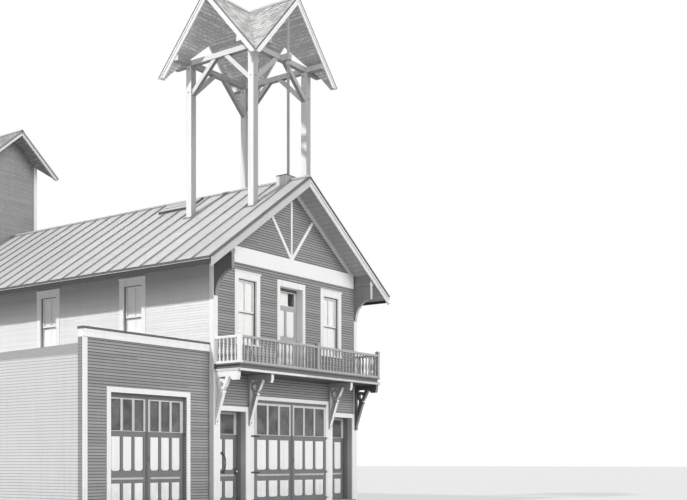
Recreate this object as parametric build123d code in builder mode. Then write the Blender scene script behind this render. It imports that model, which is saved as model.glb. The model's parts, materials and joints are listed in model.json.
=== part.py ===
"""Fire station: a two-storey gabled timber house with an open belfry, a balcony,
a one-storey engine bay on its left and a hose drying tower behind.

Frame: +X to the right along the front, +Y into the building, +Z up. The origin is on the ground
at the middle of the main house. All sizes are in millimetres.
"""

import math
import os

from build123d import *

os.makedirs("parts", exist_ok=True)

# Main house
house_width = 6100
house_length = 12200
wall_thickness = 150
foundation_height = 100
upper_floor_top = 3620
upper_floor_thickness = 220
half_width = house_width / 2
front_y = -house_length / 2
rear_y = house_length / 2
trim = 28

# Main roof
ridge_height = 8830
roof_slope = 0.7076
roof_thickness = 90
side_overhang = 780
front_overhang = 630
rear_overhang = 300
board_depth = 210
board_thickness = 30
fascia_height = 190

# Ground-floor doorways of the main front
engine_half_width = 1555
engine_head = 2740
engine_casing_height = 170
entry_centre = 2355
entry_width = 980
entry_head = 2480
entry_recess = 300
door_casing = 120

corner_board = 120

# Upper windows and upper door
window_width = 760
window_sill = 4230
window_head = 5910
window_casing = 115
sill_board = 50
sill_projection = 50
head_board = 160
sash_setback = 60
sash_thickness = 35
sash_stile = 50
front_window_centre = 1800
side_window_spacing = 3450
side_window_first = 2900
side_window_drop = 30
lower_window_sill = 1000
lower_window_head = 2600
upper_door_width = 970
upper_door_recess = 190
jamb_thickness = 28

# Sign board, frieze boards along the gable's rakes and gable sticks
sign_half_width = 2880
sign_bottom = 6270
sign_top = 6680
sign_thickness = 45
rake_frieze = 120
stick_width = 70
stick_top = 8250
stick_spread = 930
stick_tip = 7850

# Brackets under the front eave
eave_bracket_foot = 5330
eave_bracket_nose = 5940
eave_bracket_reach = 600
eave_bracket_thickness = 100
eave_plate = (6330, 6430)
eave_plate_width = 150

# Balcony
balcony_projection = 860
balcony_bottom = 3420
moulding_top = 3500
frieze_setback = 45
deck_bottom = 3585
deck_top = 3620
rail_top = 4300
bottom_rail = 60
top_rail = 60
rail_depth = 70
baluster_pitch = 150
balcony_post = 90
middle_post = 120
post_cap = 120

# Scroll brackets under the balcony
scroll_bottom = 2130
scroll_reach = 800
scroll_thickness = 100
scroll_arm = 125
volute_radius = 107
volute_band = 62
volute_out = 260
volute_height = 3110
inner_scroll_x = 1727
outer_scroll_x = half_width - scroll_thickness / 2

# Belfry
belfry_post = 190
belfry_half_span = 1135
belfry_first_post = 370
belfry_depth = 2265
plate_bottom = 12160
plate_height = 140
plate_width = 150
brace_foot = 11330
brace_run = 900
brace_depth = 160
brace_width = 110
belfry_ridge = 13780
belfry_half_size = 1720
belfry_slope = 1.134
belfry_shell = 80
belfry_board = 150
belfry_foot = 11770
mast_diameter = 76
mast_setback = 90
mast_curb = (400, 340, 140)

# Hose drying tower
tower_size = 2060
tower_peak = 12350
tower_slope = 0.87
tower_half_eave = 1460
tower_overhang = 580
tower_foot = 11000
tower_roof_thickness = 80
tower_wall = 120
tower_board = 125

# Engine bay
bay_width = 4000
bay_length = 8000
bay_setback = 150
bay_wall_top = 3930
bay_cap_top = 4150
bay_cap_projection = 40
bay_roof_front = 3800
bay_roof_rear = 3560
bay_roof_thickness = 100
bay_door_centre = 2010
bay_leaf_width = 1200
bay_door_head = 2760
bay_door_recess = 100

# Door leaves
leaf_thickness = 48
leaf_gap = 8
meeting_gap = 10
leaf_bottom = 110
stile = 100
mullion = 70
panel_sink = 14
pane_thickness = 6
street_panels = ((270, 705), (985, 1775))
street_light = 1908
street_top_rail = 60
upper_panels = ((3850, 4400), (4600, 5310))
upper_light = (5450, 5810)

# Hinges: an eye on each leaf's strap, held between two lugs
hinge_heights = (190, 920, 1860)
hinge_eye_radius = 9
hinge_eye_height = 40
hinge_inset = 6
hinge_strap_length = 150
hinge_strap_height = 32
hinge_strap = 4
lug_height = 12
lug_play = 2
lug_root = 10
lug_reach = 50
lug_plate = 112

belfry_front = front_y + belfry_first_post
belfry_rear = belfry_front + belfry_depth
belfry_y = (belfry_front + belfry_rear) / 2
tower_front = rear_y
tower_rear = rear_y + tower_size
bay_front = front_y + bay_setback
bay_rear = bay_front + bay_length
bay_left = -half_width - bay_width
bay_door_left = -half_width - bay_door_centre - bay_leaf_width
bay_door_right = -half_width - bay_door_centre + bay_leaf_width
upper_jamb = upper_door_width / 2 + jamb_thickness
casing_face = front_y - trim


def slope_drop(thickness, slope):
    """Vertical depth of a sloping slab of the given thickness."""
    return thickness * math.sqrt(1 + slope * slope)


roof_drop = slope_drop(roof_thickness, roof_slope)
tower_drop = slope_drop(tower_roof_thickness, tower_slope)
belfry_drop = slope_drop(belfry_shell, belfry_slope)


def roof_top(x):
    """Height of the main roof's upper surface at a distance x from the ridge."""
    return ridge_height - roof_slope * abs(x)


def roof_underside(x):
    return roof_top(x) - roof_drop


def block(x, y, z, mode=Mode.ADD):
    """A box between two values on each axis."""
    with Locations(((x[0] + x[1]) / 2, (y[0] + y[1]) / 2, (z[0] + z[1]) / 2)):
        Box(abs(x[1] - x[0]), abs(y[1] - y[0]), abs(z[1] - z[0]), mode=mode)


def finish(builder, name):
    builder.part.label = name
    export_step(builder.part, f"parts/{name}.step")


def chevron(half, apex, slope, drop):
    """Corners of an inverted V of vertical depth drop, from one foot over the apex to the other."""
    foot = apex - slope * half
    return [
        (-half, foot),
        (0, apex),
        (half, foot),
        (half, foot - drop),
        (0, apex - drop),
        (-half, foot - drop),
    ]


def gable(half, bottom, apex, slope):
    """Corners of a gable wall whose top follows the underside of the roof."""
    shoulder = apex - slope * half
    return [(-half, bottom), (half, bottom), (half, shoulder), (0, apex), (-half, shoulder)]


# Foundation: low masonry walls under the house, the bay and the tower
with BuildPart() as foundation:
    block((-half_width, half_width), (front_y, rear_y), (0, foundation_height))
    block((bay_left, -half_width), (bay_front, bay_rear), (0, foundation_height))
    block((-tower_size / 2, tower_size / 2), (tower_front, tower_rear), (0, foundation_height))
    block(
        (-half_width + 2 * wall_thickness, half_width - 2 * wall_thickness),
        (front_y + 2 * wall_thickness, rear_y - 2 * wall_thickness),
        (0, foundation_height),
        Mode.SUBTRACT,
    )
finish(foundation, "foundation")

with BuildPart() as ground_floor:
    block(
        (-half_width + 2 * wall_thickness, half_width - 2 * wall_thickness),
        (front_y + 2 * wall_thickness, rear_y - 2 * wall_thickness),
        (0, foundation_height),
    )
finish(ground_floor, "ground_floor")

with BuildPart() as upper_floor:
    block(
        (-half_width + wall_thickness, half_width - wall_thickness),
        (front_y + wall_thickness, rear_y - wall_thickness),
        (upper_floor_top - upper_floor_thickness, upper_floor_top),
    )
finish(upper_floor, "upper_floor")

# Ground-floor front: piers between the doorways, and the gable wall that they carry
entry_inner = entry_centre - entry_width / 2
entry_outer = entry_centre + entry_width / 2
with BuildPart() as front_piers:
    for side in (-1, 1):
        block(
            (side * entry_outer, side * half_width),
            (front_y, front_y + wall_thickness),
            (foundation_height, engine_head),
        )
        block(
            (side * engine_half_width, side * entry_inner),
            (front_y, front_y + wall_thickness),
            (foundation_height, engine_head),
        )
finish(front_piers, "front_piers")

with BuildPart() as front_wall:
    with BuildSketch(Plane.XZ.offset(-front_y)):
        Polygon(
            *gable(half_width, engine_head, ridge_height - roof_drop, roof_slope), align=None
        )
    extrude(amount=-wall_thickness)
    for centre in (-front_window_centre, front_window_centre):
        block(
            (centre - window_width / 2, centre + window_width / 2),
            (front_y, front_y + wall_thickness),
            (window_sill, window_head),
            Mode.SUBTRACT,
        )
    block(
        (-upper_jamb, upper_jamb),
        (front_y, front_y + wall_thickness),
        (upper_floor_top, window_head + jamb_thickness),
        Mode.SUBTRACT,
    )
finish(front_wall, "front_wall")

# Recesses of the two entries: jambs and head that run back to the set-back door
with BuildPart() as entry_recesses:
    for side in (-1, 1):
        block(
            (side * (entry_inner - jamb_thickness), side * (entry_outer + jamb_thickness)),
            (front_y + wall_thickness, front_y + entry_recess + leaf_thickness),
            (foundation_height, engine_head),
        )
        block(
            (side * entry_inner, side * entry_outer),
            (front_y, front_y + wall_thickness),
            (entry_head, engine_head),
        )
        block(
            (side * entry_inner, side * entry_outer),
            (front_y + wall_thickness, front_y + entry_recess + leaf_thickness),
            (foundation_height, entry_head),
            Mode.SUBTRACT,
        )
finish(entry_recesses, "entry_recesses")

side_windows = [front_y + side_window_first + n * side_window_spacing for n in range(3)]


def side_wall(side, sills):
    """A long wall with its windows, its top cut to the slope of the roof."""
    outer = side * half_width
    inner = side * (half_width - wall_thickness)
    with BuildPart() as wall:
        block(
            (inner, outer),
            (front_y + wall_thickness, rear_y - wall_thickness),
            (foundation_height, roof_underside(half_width)),
        )
        for centre in side_windows:
            for sill, head in sills:
                block(
                    (inner, outer),
                    (centre - window_width / 2, centre + window_width / 2),
                    (sill, head),
                    Mode.SUBTRACT,
                )
    return wall


upper_row = (window_sill - side_window_drop, window_head - side_window_drop)
lower_row = (lower_window_sill, lower_window_head)
finish(side_wall(-1, [upper_row]), "left_wall")
finish(side_wall(1, [upper_row, lower_row]), "right_wall")

with BuildPart() as rear_wall:
    with BuildSketch(Plane.XZ.offset(-rear_y)):
        Polygon(
            *gable(half_width, foundation_height, ridge_height - roof_drop, roof_slope),
            align=None,
        )
    extrude(amount=wall_thickness)
    for centre in (-front_window_centre, front_window_centre):
        for sill, head in (upper_row, lower_row):
            block(
                (centre - window_width / 2, centre + window_width / 2),
                (rear_y - wall_thickness, rear_y),
                (sill, head),
                Mode.SUBTRACT,
            )
finish(rear_wall, "rear_wall")

# Main roof: two slopes that meet on the ridge, cut round the tower at the rear
roof_half = half_width + side_overhang


def roof_slab(side):
    corners = [
        (0, ridge_height),
        (side * roof_half, roof_top(roof_half)),
        (side * roof_half, roof_underside(roof_half)),
        (0, ridge_height - roof_drop),
    ]
    with BuildPart() as slab:
        with BuildSketch(Plane.XZ.offset(-rear_y - rear_overhang)):
            Polygon(*corners, align=None)
        extrude(amount=house_length + rear_overhang + front_overhang)
        block(
            (-tower_size / 2, tower_size / 2),
            (tower_front, tower_rear),
            (0, ridge_height + roof_drop),
            Mode.SUBTRACT,
        )
    return slab


finish(roof_slab(-1), "main_roof_left")
finish(roof_slab(1), "main_roof_right")

# Barge boards: the front verge in one V, the rear verge in two halves beside the tower
board_drop = slope_drop(board_depth, roof_slope)
with BuildPart() as barge_boards:
    with BuildSketch(Plane.XZ.offset(-front_y + front_overhang)):
        Polygon(*chevron(roof_half, ridge_height, roof_slope, board_drop), align=None)
    extrude(amount=board_thickness)
    with BuildSketch(Plane.XZ.offset(-rear_y - rear_overhang)):
        Polygon(*chevron(roof_half, ridge_height, roof_slope, board_drop), align=None)
    extrude(amount=-board_thickness)
    block(
        (-tower_size / 2, tower_size / 2),
        (tower_front, tower_rear),
        (0, ridge_height + roof_drop),
        Mode.SUBTRACT,
    )
finish(barge_boards, "barge_boards")

with BuildPart() as eave_fascias:
    for side in (-1, 1):
        block(
            (side * roof_half, side * (roof_half + board_thickness)),
            (front_y - front_overhang, rear_y + rear_overhang),
            (roof_top(roof_half) - fascia_height, roof_top(roof_half)),
        )
finish(eave_fascias, "eave_fascias")

# The space over the roof's underside, for cutting what stands against it
with BuildPart() as above_ceiling:
    with BuildSketch(Plane.XZ.offset(-rear_y)):
        Polygon(*chevron(roof_half, ridge_height + 1000, roof_slope, 1000 + roof_drop), align=None)
    extrude(amount=house_length + front_overhang)

# Door casings: boards beside and over each doorway, the piers boarded from doorway to doorway
with BuildPart() as door_side_casings:
    for side in (-1, 1):
        block(
            (side * engine_half_width, side * entry_inner),
            (casing_face, front_y),
            (foundation_height, entry_head),
        )
        block(
            (side * engine_half_width, side * (entry_inner - door_casing)),
            (casing_face, front_y),
            (entry_head, engine_head),
        )
        block(
            (side * entry_outer, side * (half_width - corner_board)),
            (casing_face, front_y),
            (foundation_height, entry_head),
        )
    block(
        (bay_door_left - door_casing, bay_door_left),
        (bay_front - trim, bay_front),
        (foundation_height, bay_door_head),
    )
    block(
        (bay_door_right, bay_door_right + door_casing),
        (bay_front - trim, bay_front),
        (foundation_height, bay_door_head),
    )
finish(door_side_casings, "door_side_casings")

with BuildPart() as door_head_casings:
    block(
        (-engine_half_width - door_casing, engine_half_width + door_casing),
        (casing_face, front_y),
        (engine_head, engine_head + engine_casing_height),
    )
    for side in (-1, 1):
        block(
            (side * (entry_inner - door_casing), side * (half_width - corner_board)),
            (casing_face, front_y),
            (entry_head, entry_head + door_casing),
        )
    block(
        (bay_door_left - door_casing, bay_door_right + door_casing),
        (bay_front - trim, bay_front),
        (bay_door_head, bay_door_head + door_casing),
    )
finish(door_head_casings, "door_head_casings")

# Corner boards of the house: below and above the balcony
with BuildPart() as corner_boards:
    for side in (-1, 1):
        for z in ((foundation_height, balcony_bottom), (deck_top, eave_bracket_foot)):
            block(
                (side * (half_width - corner_board), side * (half_width + trim)),
                (front_y - trim, front_y),
                z,
            )
finish(corner_boards, "corner_boards")


# Windows: a casing and a sill on the wall's face, and two sashes set back in the hole
def window(plane, sill, head):
    """A window seen in a plane whose x runs along the wall and whose z points outwards."""
    middle = (sill + head) / 2
    half = window_width / 2
    reveal = half - jamb_thickness
    clear = reveal - sash_stile
    overlap = sash_stile / 2
    upper_back = -sash_setback - sash_thickness
    with BuildPart(plane) as frame:
        block((-half - window_casing, half + window_casing), (sill, head + head_board), (0, trim))
        block(
            (-half - window_casing, half + window_casing),
            (sill - sill_board, sill),
            (0, sill_projection),
        )
        block((-half, half), (sill, head), (-wall_thickness, trim))
        block((-reveal, reveal), (sill, head - jamb_thickness), (-sash_setback, trim), Mode.SUBTRACT)
        block((-reveal, reveal), (sill, middle - overlap), (upper_back, -sash_setback), Mode.SUBTRACT)
        block(
            (-reveal, reveal),
            (middle + overlap, head - jamb_thickness),
            (-wall_thickness, upper_back),
            Mode.SUBTRACT,
        )
        block(
            (-reveal, reveal),
            (sill, middle + overlap),
            (-wall_thickness, upper_back - sash_thickness),
            Mode.SUBTRACT,
        )
        for z in sash_lights(sill, head):
            block((-clear, clear), z, (-wall_thickness, trim), Mode.SUBTRACT)
    return frame


def sash_lights(sill, head):
    """Bottom and top of the glass in the lower and in the upper sash."""
    middle = (sill + head) / 2
    overlap = sash_stile / 2
    lower = (sill + 1.4 * sash_stile, middle - overlap)
    upper = (middle + overlap, head - jamb_thickness - sash_stile)
    return lower, upper


def panes(plane, sill, head):
    half = window_width / 2 - jamb_thickness - sash_stile
    lower, upper = sash_lights(sill, head)
    upper_face = -sash_setback - (sash_thickness - pane_thickness) / 2
    with BuildPart(plane) as sheet:
        block((-half, half), upper, (upper_face - pane_thickness, upper_face))
        lower_face = upper_face - sash_thickness
        block((-half, half), lower, (lower_face - pane_thickness, lower_face))
    return sheet


def wall_plane(x, y, outward):
    """A plane on a wall's face, at the ground, with its x to the right and its y up."""
    along = Vector(0, 0, 1).cross(Vector(*outward))
    return Plane(origin=(x, y, 0), x_dir=along, z_dir=outward)


window_places = []
for centre in (-front_window_centre, front_window_centre):
    window_places.append((wall_plane(centre, front_y, (0, -1, 0)), window_sill, window_head))
    window_places.append((wall_plane(centre, rear_y, (0, 1, 0)), *upper_row))
    window_places.append((wall_plane(centre, rear_y, (0, 1, 0)), *lower_row))
for centre in side_windows:
    window_places.append((wall_plane(-half_width, centre, (-1, 0, 0)), *upper_row))
    window_places.append((wall_plane(half_width, centre, (1, 0, 0)), *upper_row))
    window_places.append((wall_plane(half_width, centre, (1, 0, 0)), *lower_row))

with BuildPart() as window_frames:
    for place in window_places:
        add(window(*place).part)
finish(window_frames, "window_frames")

with BuildPart() as window_glass:
    for place in window_places:
        add(panes(*place).part)
    leaf_middle = front_y + upper_door_recess + leaf_thickness / 2
    block(
        (-upper_door_width / 2 + stile, upper_door_width / 2 - stile),
        (leaf_middle - pane_thickness / 2, leaf_middle + pane_thickness / 2),
        upper_light,
    )
finish(window_glass, "window_glass")

# Frame of the upper door: a casing on the wall's face and a deep jamb that runs into the room
with BuildPart() as upper_door_frame:
    half = upper_door_width / 2
    block(
        (-half - door_casing, half + door_casing),
        (casing_face, front_y),
        (deck_top, window_head + head_board),
    )
    block(
        (-upper_jamb, upper_jamb),
        (front_y, front_y + upper_door_recess + leaf_thickness),
        (upper_floor_top, window_head + jamb_thickness),
    )
    block(
        (-half, half),
        (casing_face, front_y + upper_door_recess + leaf_thickness),
        (upper_floor_top, window_head),
        Mode.SUBTRACT,
    )
finish(upper_door_frame, "upper_door_frame")

with BuildPart() as sign_board:
    block(
        (-sign_half_width, sign_half_width),
        (front_y - sign_thickness, front_y),
        (sign_bottom, sign_top),
    )
finish(sign_board, "sign_board")

# Frieze boards on the gable, under the soffits and down to the sign board
with BuildPart() as rake_friezes:
    with BuildSketch(Plane.XZ.offset(-front_y)):
        frieze_drop = slope_drop(rake_frieze, roof_slope)
        Polygon(
            *chevron(sign_half_width, ridge_height - roof_drop, roof_slope, frieze_drop), align=None
        )
    extrude(amount=trim)
    block(
        (-sign_half_width, sign_half_width),
        (casing_face, front_y),
        (sign_bottom, sign_top),
        Mode.SUBTRACT,
    )
finish(rake_friezes, "rake_friezes")

# Gable sticks: one upright and two slanting, spread from the middle of the sign board
with BuildPart() as gable_sticks:
    block((-stick_width / 2, stick_width / 2), (front_y - stick_width / 2, front_y), (sign_top, stick_top))
    for side in (-1, 1):
        with BuildSketch(Plane.XZ.offset(-front_y)):
            with BuildLine():
                Polyline(
                    (0, sign_top),
                    (side * stick_width, sign_top),
                    (side * (stick_spread + stick_width / 2), stick_tip - stick_width / 3),
                    (side * (stick_spread - stick_width / 2), stick_tip + stick_width / 3),
                    (0, sign_top + stick_width),
                    close=True,
                )
            make_face()
        extrude(amount=stick_width / 2)
finish(gable_sticks, "gable_sticks")

# Brackets that carry the front eave at the two corners, each under the end of a wall plate
bracket_top = roof_underside(half_width - eave_bracket_thickness)
nose_y = front_y - eave_bracket_reach
nose_depth = 60
with BuildPart() as eave_brackets:
    for side in (-1, 1):
        with BuildSketch(Plane.YZ.offset(side * half_width)):
            with BuildLine():
                Polyline(
                    (front_y, eave_bracket_foot),
                    (front_y, bracket_top),
                    (nose_y, bracket_top),
                    (nose_y, eave_bracket_nose),
                    (nose_y + nose_depth, eave_bracket_nose),
                )
                RadiusArc(
                    (nose_y + nose_depth, eave_bracket_nose),
                    (front_y - nose_depth, eave_bracket_foot),
                    eave_bracket_reach,
                )
                Line((front_y - nose_depth, eave_bracket_foot), (front_y, eave_bracket_foot))
            make_face()
        extrude(amount=-side * eave_bracket_thickness)
        middle = side * (half_width - eave_bracket_thickness / 2)
        block(
            (middle - eave_plate_width / 2, middle + eave_plate_width / 2),
            (nose_y, front_y),
            eave_plate,
        )
    add(above_ceiling.part, mode=Mode.SUBTRACT)
finish(eave_brackets, "eave_brackets")

# Balcony: a moulding, a recessed frieze and the floor boards over them
with BuildPart() as balcony_deck:
    for inset, z in (
        (0, (balcony_bottom, moulding_top)),
        (frieze_setback, (moulding_top, deck_bottom)),
        (0, (deck_bottom, deck_top)),
    ):
        block(
            (-half_width + inset, half_width - inset),
            (front_y - balcony_projection + inset, front_y),
            z,
        )
finish(balcony_deck, "balcony_deck")

rail_line = front_y - balcony_projection + balcony_post / 2
baluster_bottom = deck_top + bottom_rail
baluster_length = rail_top - top_rail - baluster_bottom


def vase():
    """The right half of a baluster's outline: a block, a neck, a belly and a long neck."""
    with BuildLine() as outline:
        Polyline(
            (0, 0),
            (18, 0),
            (18, 0.16 * baluster_length),
            (11, 0.22 * baluster_length),
            (23, 0.40 * baluster_length),
            (11, 0.76 * baluster_length),
            (18, baluster_length),
            (0, baluster_length),
            close=True,
        )
    return outline


# One baluster, shaped alike from the front and from the side, standing on the origin
with BuildPart() as baluster:
    with BuildSketch(Plane.XZ):
        add(vase().line)
        make_face()
        mirror(about=Plane.YZ)
    extrude(amount=balcony_post / 2, both=True)
    with BuildSketch(Plane.YZ):
        add(vase().line)
        make_face()
        mirror(about=Plane.YZ)
    extrude(amount=balcony_post / 2, both=True, mode=Mode.INTERSECT)


def baluster_places(start, end):
    count = math.ceil(abs(end - start) / baluster_pitch) - 1
    step = (end - start) / (count + 1)
    return [start + step * (n + 1) for n in range(count)]


# One post of the front rail, standing on the origin, with a flat cap and a low point on it
newel_height = rail_top + balcony_post / 2 - deck_top
cap_height = balcony_post / 4
with BuildPart() as newel:
    with BuildSketch():
        Rectangle(balcony_post, balcony_post)
    extrude(amount=newel_height)
    with BuildSketch(Plane.XY.offset(newel_height)):
        Rectangle(post_cap, post_cap)
    extrude(amount=cap_height)
    with BuildSketch(Plane.XY.offset(newel_height + cap_height)):
        Rectangle(balcony_post, balcony_post)
    extrude(amount=0.4 * balcony_post, taper=45)


post_places = [-outer_scroll_x, middle_post, outer_scroll_x]
rail_levels = ((deck_top, baluster_bottom), (rail_top - top_rail, rail_top))
with BuildPart() as balcony_front_rail:
    for z in rail_levels:
        block(
            (-outer_scroll_x, outer_scroll_x),
            (rail_line - rail_depth / 2, rail_line + rail_depth / 2),
            z,
        )
    with Locations(*[(x, rail_line, deck_top) for x in post_places]):
        add(newel.part)
    for start, end in zip(post_places, post_places[1:]):
        with Locations(*[(x, rail_line, baluster_bottom) for x in baluster_places(start, end)]):
            add(baluster.part)
finish(balcony_front_rail, "balcony_front_rail")

with BuildPart() as balcony_side_rails:
    for side in (-1, 1):
        x = side * outer_scroll_x
        for z in rail_levels:
            block(
                (x - rail_depth / 2, x + rail_depth / 2),
                (rail_line + balcony_post / 2, casing_face),
                z,
            )
        with Locations(*[(x, y, baluster_bottom) for y in baluster_places(rail_line, casing_face)]):
            add(baluster.part)
finish(balcony_side_rails, "balcony_side_rails")


# Scroll brackets under the balcony: a leg, an arm with a nose, a strut and a stem with a volute
def on_bracket(*points):
    """Points given by their reach from the wall and their height, as places in the bracket's plane."""
    return [(front_y - reach, height) for reach, height in points]


def bracket_bar(*points, mode=Mode.ADD):
    """One flat bar of the bracket, between its corners."""
    Polygon(*on_bracket(*points), align=None, mode=mode)


arm_bottom = balcony_bottom - scroll_arm
with BuildSketch(Plane.YZ) as scroll_outline:
    bracket_bar((0, scroll_bottom), (80, scroll_bottom), (80, balcony_bottom), (0, balcony_bottom))
    bracket_bar(
        (0, arm_bottom), (scroll_reach, arm_bottom), (scroll_reach, balcony_bottom), (0, balcony_bottom)
    )
    bracket_bar((540, arm_bottom + 10), (600, 3205), (770, 3205), (scroll_reach, arm_bottom + 10))
    bracket_bar((400, arm_bottom + 10), (515, arm_bottom + 10), (378, 3035), (285, 3035))
    bracket_bar((70, arm_bottom + 10), (130, arm_bottom + 10), (245, 2940), (195, 2940))
    bracket_bar(
        (190, 2960),
        (330, 2960),
        (330, 2905),
        (300, 2870),
        (80, scroll_bottom + 100),
        (60, scroll_bottom + 100),
        (60, 2400),
    )
    with BuildLine():
        centre = on_bracket((volute_out, volute_height))[0]
        CenterArc(centre, volute_radius, 225, 225)
        CenterArc((centre[0], centre[1] + volute_radius / 2), volute_radius / 2, 90, 120)
    trace(line_width=volute_band)

with BuildPart() as balcony_brackets:
    for x, casing_top in (
        (-outer_scroll_x, balcony_bottom),
        (-inner_scroll_x, engine_head),
        (inner_scroll_x, engine_head),
        (outer_scroll_x, balcony_bottom),
    ):
        with BuildSketch(Plane.YZ.offset(x - scroll_thickness / 2)):
            add(scroll_outline.sketch_local)
            bracket_bar(
                (0, scroll_bottom),
                (trim, scroll_bottom),
                (trim, casing_top),
                (0, casing_top),
                mode=Mode.SUBTRACT,
            )
        extrude(amount=scroll_thickness)
finish(balcony_brackets, "balcony_brackets")


# Roofs of two crossing gables, as the belfry and the tower have them
def crossing_gables(y, apex, slope, across, along, bottom):
    """The volume under two ridges that cross at y; both gables' feet are at one level."""
    with BuildPart() as volume:
        with BuildSketch(Plane.XZ.offset(-y)):
            Polygon(*gable(across, bottom, apex, slope), align=None)
        extrude(amount=along, both=True)
        with BuildSketch(Plane.YZ):
            with Locations((y, 0)):
                Polygon(*gable(along, bottom, apex, slope * across / along), align=None)
        extrude(amount=across, both=True)
    return volume


def crossing_boards(y, apex, slope, across, along, depth, foot):
    """Barge boards on the four gables of such a roof, cut off level at the foot."""
    across = across + board_thickness
    along = along + board_thickness
    with BuildPart() as boards:
        for start in (y - along, y + along - board_thickness):
            with BuildSketch(Plane.XZ.offset(-start)):
                Polygon(*chevron(across, apex, slope, depth), align=None)
            extrude(amount=-board_thickness)
        for start in (-across, across - board_thickness):
            with BuildSketch(Plane.YZ.offset(start)):
                with Locations((y, 0)):
                    Polygon(*chevron(along, apex, slope * across / along, depth), align=None)
            extrude(amount=board_thickness)
        block((-across, across), (y - along, y + along), (foot - 1000, foot), Mode.SUBTRACT)
    return boards


# Belfry: four posts on the roof, a ring of plates with braces, and a roof of two crossing gables
belfry_shape = (belfry_slope, belfry_half_size, belfry_half_size)
belfry_lining = belfry_ridge - belfry_drop
outer_volume = crossing_gables(belfry_y, belfry_ridge, *belfry_shape, belfry_foot)
inner_volume = crossing_gables(belfry_y, belfry_lining, *belfry_shape, belfry_foot - belfry_drop)
under_roof = crossing_gables(belfry_y, belfry_lining, *belfry_shape, ridge_height - 3000)
house_roof = chevron(roof_half, ridge_height, roof_slope, 3000)

with BuildPart() as belfry_roof:
    add(outer_volume.part)
    add(inner_volume.part, mode=Mode.SUBTRACT)
finish(belfry_roof, "belfry_roof")

with BuildPart() as house_roof_volume:
    with BuildSketch(Plane.XZ.offset(-rear_y)):
        Polygon(*house_roof, align=None)
    extrude(amount=house_length + front_overhang)

with BuildPart() as belfry_posts:
    for x in (-belfry_half_span, belfry_half_span):
        for y in (belfry_front, belfry_rear):
            block(
                (x - belfry_post / 2, x + belfry_post / 2),
                (y - belfry_post / 2, y + belfry_post / 2),
                (ridge_height - 1500, plate_bottom),
            )
    add(house_roof_volume.part, mode=Mode.SUBTRACT)
finish(belfry_posts, "belfry_posts")

# The plates lie on the posts, cross over them and run out to the barge boards
plate_levels = (plate_bottom, plate_bottom + plate_height)
with BuildPart() as belfry_plates:
    for y in (belfry_front, belfry_rear):
        block(
            (-belfry_half_size, belfry_half_size),
            (y - plate_width / 2, y + plate_width / 2),
            plate_levels,
        )
    for x in (-belfry_half_span, belfry_half_span):
        block(
            (x - plate_width / 2, x + plate_width / 2),
            (belfry_y - belfry_half_size, belfry_y + belfry_half_size),
            plate_levels,
        )
    add(inner_volume.part, mode=Mode.INTERSECT)
finish(belfry_plates, "belfry_plates")


def brace_outline(post_face, inward):
    """A straight brace from a post's face up to the plate, as corners in an upright plane."""
    rise = plate_bottom - brace_foot
    return [
        (post_face, brace_foot),
        (post_face + inward * brace_run, plate_bottom),
        (post_face + inward * brace_run * (1 - brace_depth / rise), plate_bottom),
        (post_face, brace_foot + brace_depth),
    ]


with BuildPart() as belfry_braces:
    for inward in (-1, 1):
        for y in (belfry_front, belfry_rear):
            with BuildSketch(Plane.XZ.offset(-y)):
                with BuildLine():
                    corner = -inward * (belfry_half_span - belfry_post / 2)
                    Polyline(*brace_outline(corner, inward), close=True)
                make_face()
            extrude(amount=brace_width / 2, both=True)
        start = belfry_front if inward > 0 else belfry_rear
        for x in (-belfry_half_span, belfry_half_span):
            with BuildSketch(Plane.YZ.offset(x)):
                with BuildLine():
                    Polyline(*brace_outline(start + inward * belfry_post / 2, inward), close=True)
                make_face()
            extrude(amount=brace_width / 2, both=True)
finish(belfry_braces, "belfry_braces")

belfry_board_drop = slope_drop(belfry_board, belfry_slope)
with BuildPart() as belfry_barge_boards:
    boards = crossing_boards(
        belfry_y, belfry_ridge, *belfry_shape, belfry_board_drop, belfry_foot
    )
    add(boards.part)
finish(belfry_barge_boards, "belfry_barge_boards")

# A round mast before the front plate, on a low curb astride the ridge
mast_y = front_y + mast_setback
curb_width, curb_length, curb_height = mast_curb
with BuildPart() as signal_mast:
    with Locations((0, mast_y, ridge_height - roof_drop)):
        Cylinder(
            mast_diameter / 2,
            belfry_ridge - ridge_height,
            align=(Align.CENTER, Align.CENTER, Align.MIN),
        )
    block(
        (-curb_width / 2, curb_width / 2),
        (mast_y - mast_setback, mast_y - mast_setback + curb_length),
        (ridge_height - curb_width, ridge_height + curb_height),
    )
    add(under_roof.part, mode=Mode.INTERSECT)
    add(house_roof_volume.part, mode=Mode.SUBTRACT)
finish(signal_mast, "signal_mast")

# Hose drying tower, with a roof of two crossing gables like the belfry's
tower_y = tower_front + tower_size / 2
tower_shape = (tower_slope, tower_half_eave, tower_size / 2 + tower_overhang)
tower_lining = tower_peak - tower_drop
tower_outer = crossing_gables(tower_y, tower_peak, *tower_shape, tower_foot)
tower_inner = crossing_gables(tower_y, tower_lining, *tower_shape, tower_foot - tower_drop)
tower_under_roof = crossing_gables(tower_y, tower_lining, *tower_shape, 0)
with BuildPart() as tower_walls:
    half = tower_size / 2
    block((-half, half), (tower_front, tower_rear), (foundation_height, tower_peak))
    block(
        (-half + tower_wall, half - tower_wall),
        (tower_front + tower_wall, tower_rear - tower_wall),
        (foundation_height, tower_peak),
        Mode.SUBTRACT,
    )
    add(tower_under_roof.part, mode=Mode.INTERSECT)
finish(tower_walls, "tower_walls")

with BuildPart() as tower_roof:
    add(tower_outer.part)
    add(tower_inner.part, mode=Mode.SUBTRACT)
finish(tower_roof, "tower_roof")

tower_board_drop = slope_drop(tower_board, tower_slope)
with BuildPart() as tower_barge_boards:
    boards = crossing_boards(tower_y, tower_peak, *tower_shape, tower_board_drop, tower_foot)
    add(boards.part)
finish(tower_barge_boards, "tower_barge_boards")

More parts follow.
